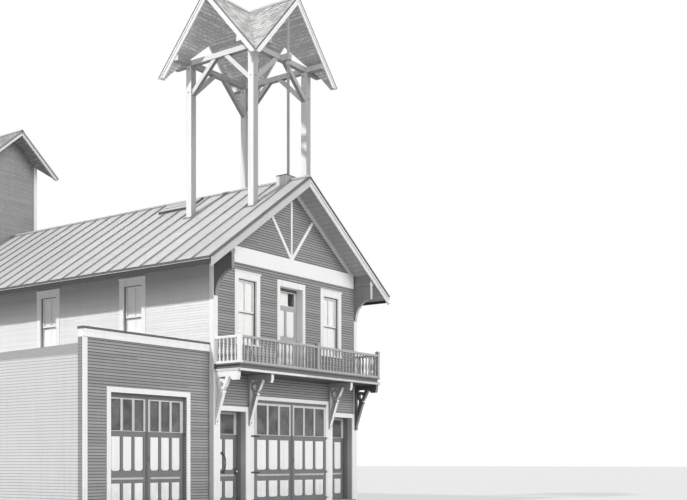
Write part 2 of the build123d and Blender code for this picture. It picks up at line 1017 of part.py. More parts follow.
# Engine bay
with BuildPart() as bay_piers:
    block(
        (bay_left, bay_door_left),
        (bay_front, bay_front + wall_thickness),
        (foundation_height, bay_door_head),
    )
    block(
        (bay_door_right, -half_width),
        (bay_front, bay_front + wall_thickness),
        (foundation_height, bay_door_head),
    )
finish(bay_piers, "bay_piers")

with BuildPart() as bay_front_wall:
    block(
        (bay_left, -half_width),
        (bay_front, bay_front + wall_thickness),
        (bay_door_head, bay_wall_top),
    )
finish(bay_front_wall, "bay_front_wall")

with BuildPart() as bay_party_wall:
    block(
        (bay_left, bay_left + wall_thickness),
        (bay_front + wall_thickness, bay_rear),
        (foundation_height, bay_roof_rear),
    )
finish(bay_party_wall, "bay_party_wall")

with BuildPart() as bay_rear_wall:
    block(
        (bay_left + wall_thickness, -half_width),
        (bay_rear - wall_thickness, bay_rear),
        (foundation_height, bay_roof_rear),
    )
finish(bay_rear_wall, "bay_rear_wall")

with BuildPart() as bay_roof:
    with BuildSketch(Plane.YZ.offset(bay_left)):
        Polygon(
            (bay_front + wall_thickness, bay_roof_rear),
            (bay_rear, bay_roof_rear),
            (bay_rear, bay_roof_rear + bay_roof_thickness),
            (bay_front + wall_thickness, bay_roof_front),
            align=None,
        )
    extrude(amount=bay_width)
finish(bay_roof, "bay_roof")

with BuildPart() as bay_cap:
    block(
        (bay_left, -half_width),
        (bay_front - bay_cap_projection, bay_front + wall_thickness),
        (bay_wall_top, bay_cap_top),
    )
finish(bay_cap, "bay_cap")


# Door leaves
def columns(low, high, count):
    """The clear widths of a leaf's panels, between equal stiles and mullions."""
    width = (high - low - 2 * stile - (count - 1) * mullion) / count
    starts = [low + stile + n * (width + mullion) for n in range(count)]
    return [(start, start + width) for start in starts]


def cut_panels(x, face, rows, count, light, lights):
    """Sinks rows of panels into both faces of a leaf and cuts its glazed lights through."""
    for row in rows:
        for column in columns(*x, count):
            for depth in (0, leaf_thickness - panel_sink):
                block(column, (face + depth, face + depth + panel_sink), row, Mode.SUBTRACT)
    for column in columns(*x, lights):
        block(column, (face, face + leaf_thickness), light, Mode.SUBTRACT)


with BuildPart() as upper_door:
    leaf_x = (-upper_door_width / 2, upper_door_width / 2)
    leaf_face = front_y + upper_door_recess
    block(leaf_x, (leaf_face, leaf_face + leaf_thickness), (upper_floor_top, window_head))
    cut_panels(leaf_x, leaf_face, upper_panels, 2, upper_light, 1)
finish(upper_door, "upper_door")

# The doors that open, seen from the street: leaf name, its two edges from the free edge to the hinged
# one, its outer face, the head of its doorway, its columns of panels and of lights, and 1 where it
# opens outwards or -1 inwards
bay_middle = -half_width - bay_door_centre
entry_face = front_y + entry_recess
bay_face = bay_front + bay_door_recess
engine_edges = (meeting_gap / 2, engine_half_width - leaf_gap)
entry_edges = (entry_inner + leaf_gap, entry_outer - leaf_gap)
leaves = [
    ("engine_door_left", (-engine_edges[0], -engine_edges[1]), casing_face, engine_head, 3, 3, 1),
    ("engine_door_right", engine_edges, casing_face, engine_head, 3, 3, 1),
    ("entry_door_left", (-entry_edges[0], -entry_edges[1]), entry_face, entry_head, 2, 1, -1),
    ("entry_door_right", entry_edges, entry_face, entry_head, 2, 1, -1),
    (
        "bay_door_left",
        (bay_middle - meeting_gap / 2, bay_door_left + leaf_gap),
        bay_face,
        bay_door_head,
        3,
        3,
        1,
    ),
    (
        "bay_door_right",
        (bay_middle + meeting_gap / 2, bay_door_right - leaf_gap),
        bay_face,
        bay_door_head,
        3,
        3,
        1,
    ),
]


def hinge_axis(edges, face, opens):
    """Place of a leaf's hinge line: near its hinged edge and just off the face that it opens towards."""
    side = math.copysign(1, edges[1] - edges[0])
    seat = face if opens > 0 else face + leaf_thickness
    return edges[1] - side * hinge_inset, seat - opens * hinge_eye_radius, seat, side


def hinge_levels(face):
    """Heights of a leaf's hinges: the wide leaves of the engine doorway have one more at mid-height."""
    return hinge_heights if face == casing_face else (hinge_heights[0], hinge_heights[-1])


for name, edges, face, head, count, lights, opens in leaves:
    x = (min(edges), max(edges))
    top = head - leaf_gap
    light = (street_light, top - street_top_rail)
    axis_x, axis_y, seat, side = hinge_axis(edges, face, opens)
    with BuildPart() as leaf:
        block(x, (face, face + leaf_thickness), (leaf_bottom, top))
        cut_panels(x, face, street_panels, count, light, lights)
        for z in hinge_levels(face):
            block(
                (axis_x, axis_x - side * hinge_strap_length),
                (seat, seat - opens * hinge_strap),
                (z - hinge_strap_height / 2, z + hinge_strap_height / 2),
            )
            with Locations((axis_x, axis_y, z)):
                Cylinder(hinge_eye_radius, hinge_eye_height)
    finish(leaf, name)

    middle = face + leaf_thickness / 2
    with BuildPart() as leaf_glass:
        for column in columns(*x, lights):
            block(column, (middle - pane_thickness / 2, middle + pane_thickness / 2), light)
    finish(leaf_glass, name + "_glass")

# Lugs over and under each eye. Their root is fixed to the casing or the jamb by a plate on its face,
# and at the engine bay, whose leaves stand inside the doorway, to the doorway's side.
with BuildPart() as hinge_lugs:
    for name, edges, face, head, count, lights, opens in leaves:
        axis_x, axis_y, seat, side = hinge_axis(edges, face, opens)
        jamb_x = edges[1] + side * leaf_gap
        lug_front = axis_y - opens * hinge_eye_radius
        plate_x = jamb_x + side * (lug_plate if opens > 0 else jamb_thickness)
        for z in hinge_levels(face):
            low = z - hinge_eye_height / 2 - lug_play
            high = z + hinge_eye_height / 2 + lug_play
            lug_levels = (low - lug_height, high + lug_height)
            if face == bay_face:
                root_x = jamb_x - side * hinge_strap
                block((root_x, jamb_x), (lug_front - lug_reach, seat - lug_play), lug_levels)
            else:
                root_x = jamb_x
                block((root_x, root_x + side * lug_root), (lug_front, seat), lug_levels)
                block((root_x, plate_x), (seat - opens * hinge_strap, seat), (low, high))
            for lug in ((low - lug_height, low), (high, high + lug_height)):
                block(
                    (axis_x - side * hinge_strap, root_x),
                    (lug_front, axis_y + opens * hinge_strap),
                    lug,
                )
finish(hinge_lugs, "hinge_lugs")
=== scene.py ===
import json
import math
import random

import bmesh
import bpy
from mathutils import Matrix, Vector

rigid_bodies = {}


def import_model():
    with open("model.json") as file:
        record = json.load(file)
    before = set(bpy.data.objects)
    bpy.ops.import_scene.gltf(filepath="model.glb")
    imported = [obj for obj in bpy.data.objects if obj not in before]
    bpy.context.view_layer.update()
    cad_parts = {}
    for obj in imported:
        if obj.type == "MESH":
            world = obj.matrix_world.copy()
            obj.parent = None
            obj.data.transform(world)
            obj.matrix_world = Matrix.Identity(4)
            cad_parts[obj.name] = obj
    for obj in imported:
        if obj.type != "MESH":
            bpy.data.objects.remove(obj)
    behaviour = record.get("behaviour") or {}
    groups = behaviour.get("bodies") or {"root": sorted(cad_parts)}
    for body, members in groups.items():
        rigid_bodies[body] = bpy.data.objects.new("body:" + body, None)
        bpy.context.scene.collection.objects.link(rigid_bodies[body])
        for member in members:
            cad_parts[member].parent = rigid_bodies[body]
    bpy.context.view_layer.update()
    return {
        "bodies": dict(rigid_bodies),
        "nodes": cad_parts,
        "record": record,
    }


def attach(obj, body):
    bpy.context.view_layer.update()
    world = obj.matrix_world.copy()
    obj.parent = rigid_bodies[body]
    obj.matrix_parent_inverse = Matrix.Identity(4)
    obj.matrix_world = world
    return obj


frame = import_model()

scene = bpy.context.scene
up = Vector((0, 0, 1))
print("fire station: frame loaded")

# the building's main sizes in metres, as the CAD model has them
house = {
    "half": 3.05, "front": -6.1, "rear": 6.1, "foot": 0.1, "ridge": 8.83, "slope": 0.7076,
    "roofDrop": 0.1103, "eave": 3.83, "verge": -6.73, "rearVerge": 6.4,
}
bay = {
    "left": -7.05, "front": -5.95, "rear": 2.05, "top": 3.93, "rearTop": 3.56,
    "doorLeft": -6.26, "doorRight": -3.86, "doorTop": 2.79,
}
tower = {
    "half": 1.03, "front": 6.1, "rear": 8.16, "y": 7.13, "ridge": 12.35, "lining": 12.244,
    "across": 1.49, "along": 1.64, "slope": 0.87, "sideSlope": 0.789, "foot": 11.0,
}
belfry = {
    "y": -4.5975, "ridge": 13.78, "across": 1.75, "along": 1.75, "slope": 1.134, "sideSlope": 1.134,
    "foot": 11.77, "postX": 1.135, "postYs": (-5.73, -3.465), "post": 0.19,
}
clapPitch = 0.069  # from the foot of one clapboard to the next


# a new object in the scene; a lamp or camera points along way
def newObject(name, data, way=None):
    obj = bpy.data.objects.new(name, data)
    scene.collection.objects.link(obj)
    if way is not None:
        obj.rotation_euler = Vector(way).to_track_quat("-Z", "Y").to_euler()
    return obj


# short names for the nodes of one tree
class Nodes:

    def __init__(self, tree):
        self.tree = tree

    def feed(self, value, sock):
        if hasattr(value, "links"):
            self.tree.links.new(value, sock)
        else:
            sock.default_value = value

    def node(self, kind, inputs, **settings):
        made = self.tree.nodes.new("ShaderNode" + kind)
        for label, value in settings.items():
            setattr(made, label, value)
        for label, value in inputs.items():
            self.feed(value, made.inputs[label])
        return made.outputs

    def calc(self, operation, first, second=0.0):
        return self.node("Math", {0: first, 1: second}, operation=operation)[0]

    def plus(self, first, second):
        return self.calc("ADD", first, second)

    def minus(self, first, second):
        return self.calc("SUBTRACT", first, second)

    def times(self, first, second):
        return self.calc("MULTIPLY", first, second)

    def above(self, value, limit):
        return self.calc("GREATER_THAN", value, limit)

    def below(self, value, limit):
        return self.calc("LESS_THAN", value, limit)

    # start where the value is 0, and more by gain where it is 1
    def rise(self, start, value, gain):
        return self.plus(start, self.times(value, gain))

    # the shade less a share of the mask
    def less(self, shade, mask, share):
        return self.minus(shade, self.times(mask, share))

    # the shade scaled down where the mask is
    def darkened(self, shade, mask, share):
        return self.times(shade, self.less(1.0, mask, share))

    # 0 below low, 1 above high
    def between(self, value, low, high):
        return self.node("MapRange", {"Value": value, "From Min": low, "From Max": high})["Result"]

    def blend(self, mask, first, second):
        return self.node("Mix", {"Factor": mask, "A": first, "B": second}, data_type="RGBA")["Result"]

    def stretched(self, vector, scale):
        return self.node("Mapping", {"Vector": vector, "Scale": scale})["Vector"]

    def noise(self, vector, scale, detail=3.0, rough=0.55):
        values = {"Vector": vector, "Scale": scale, "Detail": detail, "Roughness": rough}
        return self.node("TexNoise", values)["Fac"]


# camera, standing in the street and looking level, with the picture shifted upwards
viewSettings = {
    "eye": (-22.15, -23.91, 1.19), "forward": (0.8099, 0.5866, 0.0), "lens": 54.76, "sensor": 36,
    "shiftUp": 0.3086, "farthest": 300,
}


def addCamera(s):
    cam = bpy.data.cameras.new("streetCamera")
    cam.lens = s["lens"]
    cam.sensor_width = s["sensor"]
    cam.shift_y = s["shiftUp"]
    cam.clip_end = s["farthest"]
    obj = newObject("streetCamera", cam, s["forward"])
    obj.location = s["eye"]
    scene.camera = obj


addCamera(viewSettings)

# soft daylight: the sun on the left side, a little from behind, and even light on the shaded front
lightSettings = {
    "suns": {
        "leftSun": {"strength": 2.8, "direction": (0.74, -0.2, -0.66), "angle": 0.04},
        "frontFill": {"strength": 2.0, "direction": (0.0, 0.94, -0.34), "angle": 0.8},
        "rearFill": {"strength": 0.8, "direction": (-0.6, -0.6, -0.5), "angle": 0.8},
    },
    "worldStrength": 0.32,
}


# 1 for camera, glossy and transmission rays, which show the background itself
def seenDirectly(n):
    path = n.node("LightPath", {})
    rays = n.calc("MAXIMUM", path["Is Camera Ray"], path["Is Glossy Ray"])
    return n.calc("MAXIMUM", rays, path["Is Transmission Ray"])


def addLight(s):
    for name, one in s["suns"].items():
        sun = bpy.data.lights.new(name, "SUN")
        sun.energy = one["strength"]
        sun.angle = one["angle"]
        newObject(name, sun, one["direction"])
    scene.world = bpy.data.worlds.new("studioWorld")
    scene.world.use_nodes = True
    n = Nodes(scene.world.node_tree)
    back = n.tree.nodes["Background"]
    back.inputs["Color"].default_value = (1, 1, 1, 1)
    span = n.node("MapRange", {"Value": seenDirectly(n), "To Min": s["worldStrength"], "To Max": 1.0})
    n.feed(span["Result"], back.inputs["Strength"])


addLight(lightSettings)
scene.view_settings.view_transform = "Standard"

floorSettings = {"size": 240, "colour": 0.45, "lift": 0.5}


# a pale floor, lifted towards the white background where it is seen directly
def addFloor(s):
    bm = bmesh.new()
    bmesh.ops.create_grid(bm, x_segments=1, y_segments=1, size=s["size"])
    mesh = bpy.data.meshes.new("floor")
    bm.to_mesh(mesh)
    bm.free()
    mat = bpy.data.materials.new("paleFloor")
    mat.use_nodes = True
    n = Nodes(mat.node_tree)
    paper = n.tree.nodes["Principled BSDF"]
    paper.inputs["Base Color"].default_value = (s["colour"],) * 3 + (1,)
    paper.inputs["Roughness"].default_value = 1.0
    share = n.times(seenDirectly(n), s["lift"])
    mix = n.node("MixShader", {0: share, 1: paper.outputs[0], 2: n.node("Emission", {})[0]})
    n.feed(mix[0], n.tree.nodes["Material Output"].inputs["Surface"])
    mesh.materials.append(mat)
    newObject("floor", mesh)


addFloor(floorSettings)
print("camera, light and floor set")


# shared effects, each a node group; a tuple stands for a vector socket
def newGroup(name, inputs, outputs):
    tree = bpy.data.node_groups.new(name, "ShaderNodeTree")
    for label, value in inputs.items():
        kind = "NodeSocketVector" if isinstance(value, tuple) else "NodeSocketFloat"
        tree.interface.new_socket(label, in_out="INPUT", socket_type=kind).default_value = value
    for label in outputs:
        tree.interface.new_socket(label, in_out="OUTPUT", socket_type="NodeSocketFloat")
    start, end = tree.nodes.new("NodeGroupInput"), tree.nodes.new("NodeGroupOutput")
    return Nodes(tree), start.outputs, end.inputs


weatherSettings = {
    "patch": 0.9, "speck": 14.0, "speckShare": 0.6, "rainStretch": (9.0, 9.0, 0.35), "rain": (0.48, 0.72),
    "dirtHeight": 1.3, "dirtPatch": 5.0, "dirtEdge": (0.3, 0.7),
}


# patchy fading, streaks of rain down the surface and dirt towards the ground
def makeWeather(s):
    inputs = {"Vector": (0.0, 0.0, 0.0), "Patches": 0.1, "Streaks": 0.1, "Dirt": 0.1}
    n, start, end = newGroup("weather", inputs, ["Shade"])
    place = start["Vector"]
    patch = n.minus(n.noise(place, s["patch"], 4.0), 0.5)
    speck = n.minus(n.noise(place, s["speck"]), 0.5)
    rain = n.between(n.noise(n.stretched(place, s["rainStretch"]), 1.0, 4.0), *s["rain"])
    height = n.node("SeparateXYZ", {0: place})["Z"]
    low = n.between(height, s["dirtHeight"], 0.0)
    low = n.times(low, n.between(n.noise(place, s["dirtPatch"]), *s["dirtEdge"]))
    shade = n.rise(1.0, n.rise(patch, speck, s["speckShare"]), start["Patches"])
    shade = n.less(shade, rain, start["Streaks"])
    n.feed(n.less(shade, low, start["Dirt"]), end["Shade"])
    return n.tree


# fine lines of wood or brush marks, along the axis that Scale makes short
def makeGrain():
    inputs = {"Vector": (0.0, 0.0, 0.0), "Scale": (60.0, 60.0, 2.0)}
    n, start, end = newGroup("woodGrain", inputs, ["Grain"])
    place = n.stretched(start["Vector"], start["Scale"])
    fine = n.times(n.noise(place, 1.0, 5.0, 0.65), 0.7)
    broad = n.times(n.noise(place, 0.3, 2.0), 0.3)
    n.feed(n.plus(fine, broad), end["Grain"])
    return n.tree


# saw-tooth courses along a direction, with a thin line at the foot of each, which the clapboard finishes
# darken as painted shadow
def makeCourses():
    inputs = {"Place": 0.0, "Pitch": clapPitch, "Line": 0.1}
    n, start, end = newGroup("courses", inputs, ["Height", "Line", "Course"])
    count = n.calc("DIVIDE", start["Place"], start["Pitch"])
    part = n.calc("FRACT", count)
    n.feed(n.minus(1.0, part), end["Height"])
    n.feed(n.below(part, start["Line"]), end["Line"])
    spread = n.node("TexWhiteNoise", {"W": n.calc("FLOOR", count)}, noise_dimensions="1D")
    n.feed(spread["Value"], end["Course"])
    return n.tree


weather = makeWeather(weatherSettings)
woodGrain = makeGrain()
courses = makeCourses()
finishes = {}
facings = {"front": ("Y", -1), "under": ("Z", -1), "left": ("X", -1), "right": ("X", 1)}


# a neutral grey, a little warm for a positive tint and cool for a negative one
def grey(value, tint=0.0):
    return (value * (1 + tint), value, value * (1 - tint), 1)


# a material under construction: its tree, its shader and the surface's own place
class Finish(Nodes):

    def __init__(self, name, roughness, metallic=0.0):
        self.mat = bpy.data.materials.new(name)
        self.mat.use_nodes = True
        super().__init__(self.mat.node_tree)
        self.name, self.roughness = name, roughness
        self.shader = self.tree.nodes["Principled BSDF"]
        self.shader.inputs["Metallic"].default_value = metallic
        self.coords = self.node("TexCoord", {})
        self.place = self.coords["Object"]
        self.x, self.y, self.z = self.node("SeparateXYZ", {0: self.place})

    def grain(self, scale):
        return self.node("Group", {"Vector": self.place, "Scale": scale}, node_tree=woodGrain)["Grain"]

    def weathered(self, patches, streaks, dirt):
        values = {"Vector": self.place, "Patches": patches, "Streaks": streaks, "Dirt": dirt}
        return self.node("Group", values, node_tree=weather)["Shade"]

    def rows(self, place, pitch, line):
        return self.node("Group", {"Place": place, "Pitch": pitch, "Line": line}, node_tree=courses)

    # the board's own value, from the mesh
    def tone(self, strength):
        return self.rise(1.0, self.node("Attribute", {}, attribute_name="tone")["Fac"], strength)

    # how far the surface faces along an axis, from -1 to 1
    def faces(self, axis):
        return self.node("SeparateXYZ", {0: self.coords["Normal"]})[axis]

    # painted shade: darker on the faces that look forwards, down, left or right, from one place rightwards
    def shadeByFacing(self, shaded, start, least=0.3):
        factor = 1.0
        for side, amount in shaded.items():
            axis, sign = facings[side]
            factor = self.less(factor, self.above(self.times(self.faces(axis), sign), 0.6), amount)
        if start is not None:
            factor = self.calc("MAXIMUM", factor, self.below(self.x, start))
        return self.calc("MAXIMUM", factor, least)

    def shade(self, colour, factor):
        colour = colour[:3] if isinstance(colour, tuple) else colour
        return self.node("VectorMath", {0: colour, "Scale": factor}, operation="SCALE")["Vector"]

    # a pattern for height makes relief, and one for sheen makes the surface duller
    def close(self, colour, height, depth, sheen=None):
        rough = self.roughness if sheen is None else self.rise(self.roughness, sheen, 0.2)
        self.feed(rough, self.shader.inputs["Roughness"])
        self.feed(colour, self.shader.inputs["Base Color"])
        bump = self.node("Bump", {"Distance": depth, "Strength": 1.0, "Height": height})
        self.feed(bump["Normal"], self.shader.inputs["Normal"])
        finishes[self.name] = self.mat


# beyond is (x, paint) and bands are (low, high), painted inside; wear starts where the grain passes wearFrom
woodSettings = {
    "rough": 0.55, "grain": (50.0, 50.0, 3.0), "patches": 0.18, "streaks": 0.08, "dirt": 0.15, "tone": 0.10,
    "wear": 0.25, "wearFrom": None, "depth": 0.0012, "lines": 0.0, "lineWidth": 0.2, "soot": 0.0,
    "sootHeights": (5.2, 5.85), "shaded": {}, "shadedFrom": None, "beyond": None, "bands": [],
    "inside": None,
}
lengthwise = (2.5, 2.5, 70.0)  # grain along x and y, for boards that lie level


# flat paint on sawn wood: grain, patches, rain streaks, each board's own tone
def wood(name, colour, **changes):
    s = {**woodSettings, **changes}
    f = Finish(name, s["rough"])
    grain = f.grain(s["grain"])
    shade = f.times(f.weathered(s["patches"], s["streaks"], s["dirt"]), f.tone(s["tone"]))
    fleck = f.between(grain, s["wearFrom"] or 0.60 - s["wear"] * 0.1, 0.75)
    shade = f.less(shade, fleck, s["wear"])
    if s["lines"]:  # shadow lines under the clapboards
        rows = f.rows(f.minus(house["foot"], f.z), clapPitch, s["lineWidth"])
        shade = f.darkened(shade, rows["Line"], s["lines"])
    if s["soot"]:  # painted shade high up under the eave
        shade = f.darkened(shade, f.between(f.z, *s["sootHeights"]), s["soot"])
    if s["shaded"]:
        shade = f.times(shade, f.shadeByFacing(s["shaded"], s["shadedFrom"]))
    if s["beyond"]:  # another paint to the right of a place
        start, other = s["beyond"]
        colour = f.blend(f.above(f.x, start), colour, other)
    if s["bands"]:  # another paint between two heights
        mask = 0.0
        for low, high in s["bands"]:
            mask = f.plus(mask, f.times(f.above(f.z, low), f.below(f.z, high)))
        colour = f.blend(mask, colour, s["inside"])
    f.close(f.shade(colour, shade), grain, s["depth"], grain)


# the wall behind its clapboards and its boarded inner face, with a painted shadow line under each course
def boardedWall(name, colour):
    f = Finish(name, 0.6)
    rows = f.rows(f.minus(house["foot"], f.z), clapPitch, 0.2)
    grain = f.grain(lengthwise)
    shade = f.darkened(f.weathered(0.15, 0.05, 0.1), rows["Line"], 0.45)
    f.close(f.shade(colour, shade), f.rise(rows["Height"], grain, 0.2), 0.006, grain)


roofSettings = {
    "upwards": 0.3, "patch": 3.0, "patchShare": 0.12, "grimeEdge": (0.17, 0.06), "sheetLength": 1.25,
    "stagger": 0.37, "welt": 0.014, "weltDark": 0.18, "rainStretch": (0.7, 16.0, 0.7), "rain": (0.5, 0.8),
    "least": 0.93, "board": 0.14, "joint": 0.07, "jointDark": 0.5, "dents": 2.2, "dentShare": 0.8,
}


# sheet metal above, darker beside its seams, with cross welts; boards beneath in a grey of their own, dark
# as painted shade under the eaves
def roofMetal(name, rough, metal, soffit, **changes):
    s = {**roofSettings, **changes}
    f = Finish(name, rough)
    above = f.above(f.faces("Z"), s["upwards"])
    seam = f.calc("DIVIDE", f.minus(f.y, s["firstSeam"]), s["seamPitch"])
    column = f.calc("FLOOR", seam)
    patch = f.noise(f.place, s["patch"], 4.0)
    grime = f.between(f.rise(f.calc("PINGPONG", seam, 0.5), patch, s["patchShare"]), *s["grimeEdge"])
    along = f.rise(f.calc("DIVIDE", f.z, s["sheetLength"]), column, s["stagger"])
    cell = f.node("CombineXYZ", {0: column, 1: f.calc("FLOOR", along)})[0]
    sheet = f.node("TexWhiteNoise", {"Vector": cell}, noise_dimensions="2D")["Value"]
    welt = f.below(f.calc("FRACT", along), s["welt"])
    rain = f.noise(f.stretched(f.place, s["rainStretch"]), 1.0, 4.0)
    shade = f.less(f.rise(s["least"], sheet, s["sheetTone"]), f.between(rain, *s["rain"]), s["streaks"])
    shade = f.less(f.less(shade, grime, s["grime"]), welt, s["weltDark"])
    boards = f.calc("FRACT", f.calc("DIVIDE", f.calc("ABSOLUTE", f.x), s["board"]))
    under = f.rise(0.75, f.grain((60.0, 3.0, 60.0)), 0.5)
    under = f.less(under, f.below(boards, s["joint"]), s["jointDark"])
    height = f.rise(f.times(welt, above), f.noise(f.place, s["dents"]), s["dentShare"])
    f.close(f.blend(above, f.shade(soffit, under), f.shade(metal, shade)), height, 0.004, patch)


# split shingles: coarse grain down the slope, silvered and mossy patches
def shakes(name, colour):
    f = Finish(name, 0.75)
    grain = f.grain((45.0, 45.0, 12.0))
    patch = f.noise(f.place, scale=1.6, detail=4.0)
    shade = f.times(f.rise(0.62, grain, 0.75), f.rise(0.8, patch, 0.4))
    f.close(f.shade(colour, f.times(shade, f.tone(0.30))), grain, 0.004, grain)


# roof seen from beneath: open laths with the backs of shingles between them
def underShingles(name, dark, light):
    f = Finish(name, 0.85)
    rows = f.rows(f.z, 0.07, 0.24)
    grain = f.grain((34.0, 34.0, 60.0))
    fleck = f.between(f.rise(grain, rows["Course"], 0.10), 0.52, 0.62)
    colour = f.blend(f.times(fleck, f.minus(1.0, rows["Line"])), dark, light)
    f.close(colour, f.plus(rows["Line"], grain), 0.008, grain)


def stone(name, colour, coarse):
    f = Finish(name, 0.85)
    patch = f.noise(f.place, scale=2.0, detail=5.0)
    pits = f.noise(f.place, scale=40.0, detail=5.0)
    shade = f.times(f.rise(0.7, patch, 0.6), f.tone(0.2))
    f.close(f.shade(colour, shade), f.rise(patch, pits, 0.5), coarse, pits)


def iron(name, colour, roughness=0.5, metallic=0.6):
    f = Finish(name, roughness, metallic)
    rust = f.noise(f.place, scale=25.0, detail=4.0)
    f.close(f.shade(colour, f.rise(0.7, rust, 0.6)), rust, 0.0006, rust)


# old drawn glass: slightly wavy, with dusty patches
def glass(name, colour, alpha):
    f = Finish(name, 0.06)
    f.shader.inputs["Alpha"].default_value = alpha
    dust = f.noise(f.place, scale=22.0, detail=4.0)
    patch = f.between(f.noise(f.place, scale=3.2), 0.35, 0.68)
    shade = f.plus(f.times(dust, 0.5), f.rise(0.35, patch, 0.8))
    wave = f.noise(f.place, scale=7.0, detail=2.0)
    f.close(f.shade(colour, shade), wave, 0.0015, dust)


def cloth(name, colour):
    f = Finish(name, 0.9)
    weave = f.noise(f.place, scale=500.0, detail=2.0)
    fold = f.noise(f.place, scale=5.0, detail=2.0)
    f.close(f.shade(colour, f.rise(0.9, fold, 0.15)), weave, 0.0003)


# front clapboards: painted shadow lines under the laps and painted shade on their lower edges
wood("sidingFront", grey(0.31, 0.01), grain=lengthwise, tone=0.12, patches=0.14, streaks=0.04, lines=0.7,
     lineWidth=0.26, shaded={"under": 0.7})
# the side walls: painted shade high up under the eave, and a little on the clapboards' lower edges
wood("sidingSide", grey(0.78), grain=lengthwise, tone=0.04, wear=0.1, streaks=0.04, patches=0.08,
     shaded={"under": 0.1}, soot=0.45)
# tower clapboards: painted shadow lines under the laps and painted shade on their lower edges
wood("sidingTower", grey(0.33), grain=lengthwise, tone=0.07, patches=0.4, lines=0.22, shaded={"under": 0.6})
for wallName, wallGrey in (("wallFront", 0.30), ("wallSide", 0.66), ("wallTower", 0.3)):
    boardedWall(wallName, grey(wallGrey))
wood("trimWhite", grey(0.86, 0.005), wear=0.10, patches=0.10, tone=0.03)
wood("trimLevel", grey(0.86, 0.005), grain=lengthwise, wear=0.10, patches=0.10, tone=0.03)
wood("panelWhite", grey(0.88, 0.005), wear=0.08, patches=0.10, dirt=0.25)
wood("leafFrame", grey(0.18), inside=grey(0.62), bands=[(1.895, 2.9)], wearFrom=0.58)
wood("stripPaint", grey(0.15))
wood("lockStrip", grey(0.55), grain=lengthwise)
wood("bargePaint", grey(0.56), beyond=(0.0, grey(0.74)), grain=lengthwise, wear=0.15)
# balcony rails: white on the left side, the front and right rails painted grey as their shade
wood("railPaint", grey(0.86), beyond=(-2.93, grey(0.42)), wear=0.15)
# scroll brackets: white, with painted shade on the side and lower faces of all but the outermost left one,
# and the outermost right one painted dark as shade
wood("bracketPaint", grey(0.86), beyond=(2.9, grey(0.24)), wear=0.1, shadedFrom=-2.9,
     shaded={"left": 0.6, "right": 0.5, "under": 0.3})
# upper door leaf in mid grey, its top above the light painted dark as the shade of the door head
wood("upperLeaf", grey(0.12), inside=grey(0.42), bands=[(0.0, 5.83)], wearFrom=0.58)
# balcony deck dark as painted shade, with a white moulding band, its underside painted darker still as shade
wood("deckPaint", grey(0.16), inside=grey(0.84), bands=[(3.432, 3.486)], wearFrom=0.58, grain=lengthwise,
     shaded={"under": 0.45})
wood("balconyEdge", grey(0.84), grain=lengthwise, beyond=(-0.4, grey(0.62)), wear=0.15)
wood("jambGrey", grey(0.26))
wood("liningPaint", grey(0.5))
# near-black fascia: painted shade under the roof's edge
wood("fasciaPaintedShade", grey(0.035), grain=lengthwise)
# dark strips in the windows: painted shadow
wood("shadowStripDark", grey(0.10))
# belfry posts and beams: painted shade on the faces that look forwards, down and right
wood("posts", grey(0.84, 0.01), wear=0.12, streaks=0.08, patches=0.12,
     shaded={"front": 0.56, "under": 0.5, "right": 0.3})
wood("beams", grey(0.78, 0.01), grain=lengthwise, wear=0.15,
     shaded={"front": 0.5, "under": 0.6, "right": 0.3})
# eave brackets painted dark as the shade under the eave, the right one less dark, with more painted shade on
# their side and lower faces
wood("eaveBrackets", grey(0.26), beyond=(0.0, grey(0.6)), wear=0.15,
     shaded={"left": 0.45, "right": 0.5, "under": 0.3})
# signal mast: lighter at its curb and at the top, with painted shade on its front and right faces
wood("mast", grey(0.50), inside=grey(0.72), bands=[(8.0, 9.0), (12.0, 14.0)], wearFrom=0.58,
     shaded={"front": 0.55, "right": 0.3})
wood("strapPaint", grey(0.05), beyond=(0.0, grey(0.86)), wear=0.1)
wood("floorWood", grey(0.32, 0.04), grain=(60.0, 2.0, 60.0))
wood("signPaint", grey(0.88), grain=lengthwise, wear=0.06, patches=0.1, streaks=0.02)
roofMetal("roofMetal", 0.5, grey(0.48), grey(0.48), firstSeam=-6.13, seamPitch=0.6, sheetTone=0.10,
          streaks=0.10, grime=0.30)
roofMetal("bayRoof", 0.6, grey(0.42, -0.01), grey(0.35), firstSeam=-5.8, seamPitch=0.8, sheetTone=0.08,
          streaks=0.06, grime=0.2)
# dark metal of the seams, the tower's rake edges and the post flashings: painted shadow along them
iron("seamMetal", grey(0.26), 0.55)
iron("ridgeMetal", grey(0.42), 0.55)
# near-black metal of the roof's edges, drips, coping and curbs, dark as painted shadow along these edges
iron("edgeMetal", grey(0.14), 0.6)
iron("iron", grey(0.035))
iron("bronze", grey(0.05, 0.08), 0.35)
iron("porcelain", grey(0.86), 0.2, metallic=0.0)
shakes("shingles", grey(0.50, 0.01))
shakes("towerShingles", grey(0.38))
underShingles("towerUnder", grey(0.24), grey(0.46))
underShingles("underShingles", grey(0.54), grey(0.94))
glass("glass", grey(0.20, -0.01), 0.5)
glass("windowGlass", grey(0.85, -0.01), 0.03)
cloth("blind", grey(0.94, 0.01))
stone("stone", grey(0.42, 0.01), 0.01)
stone("concrete", grey(0.40), 0.003)
print("finishes made:", len(finishes))

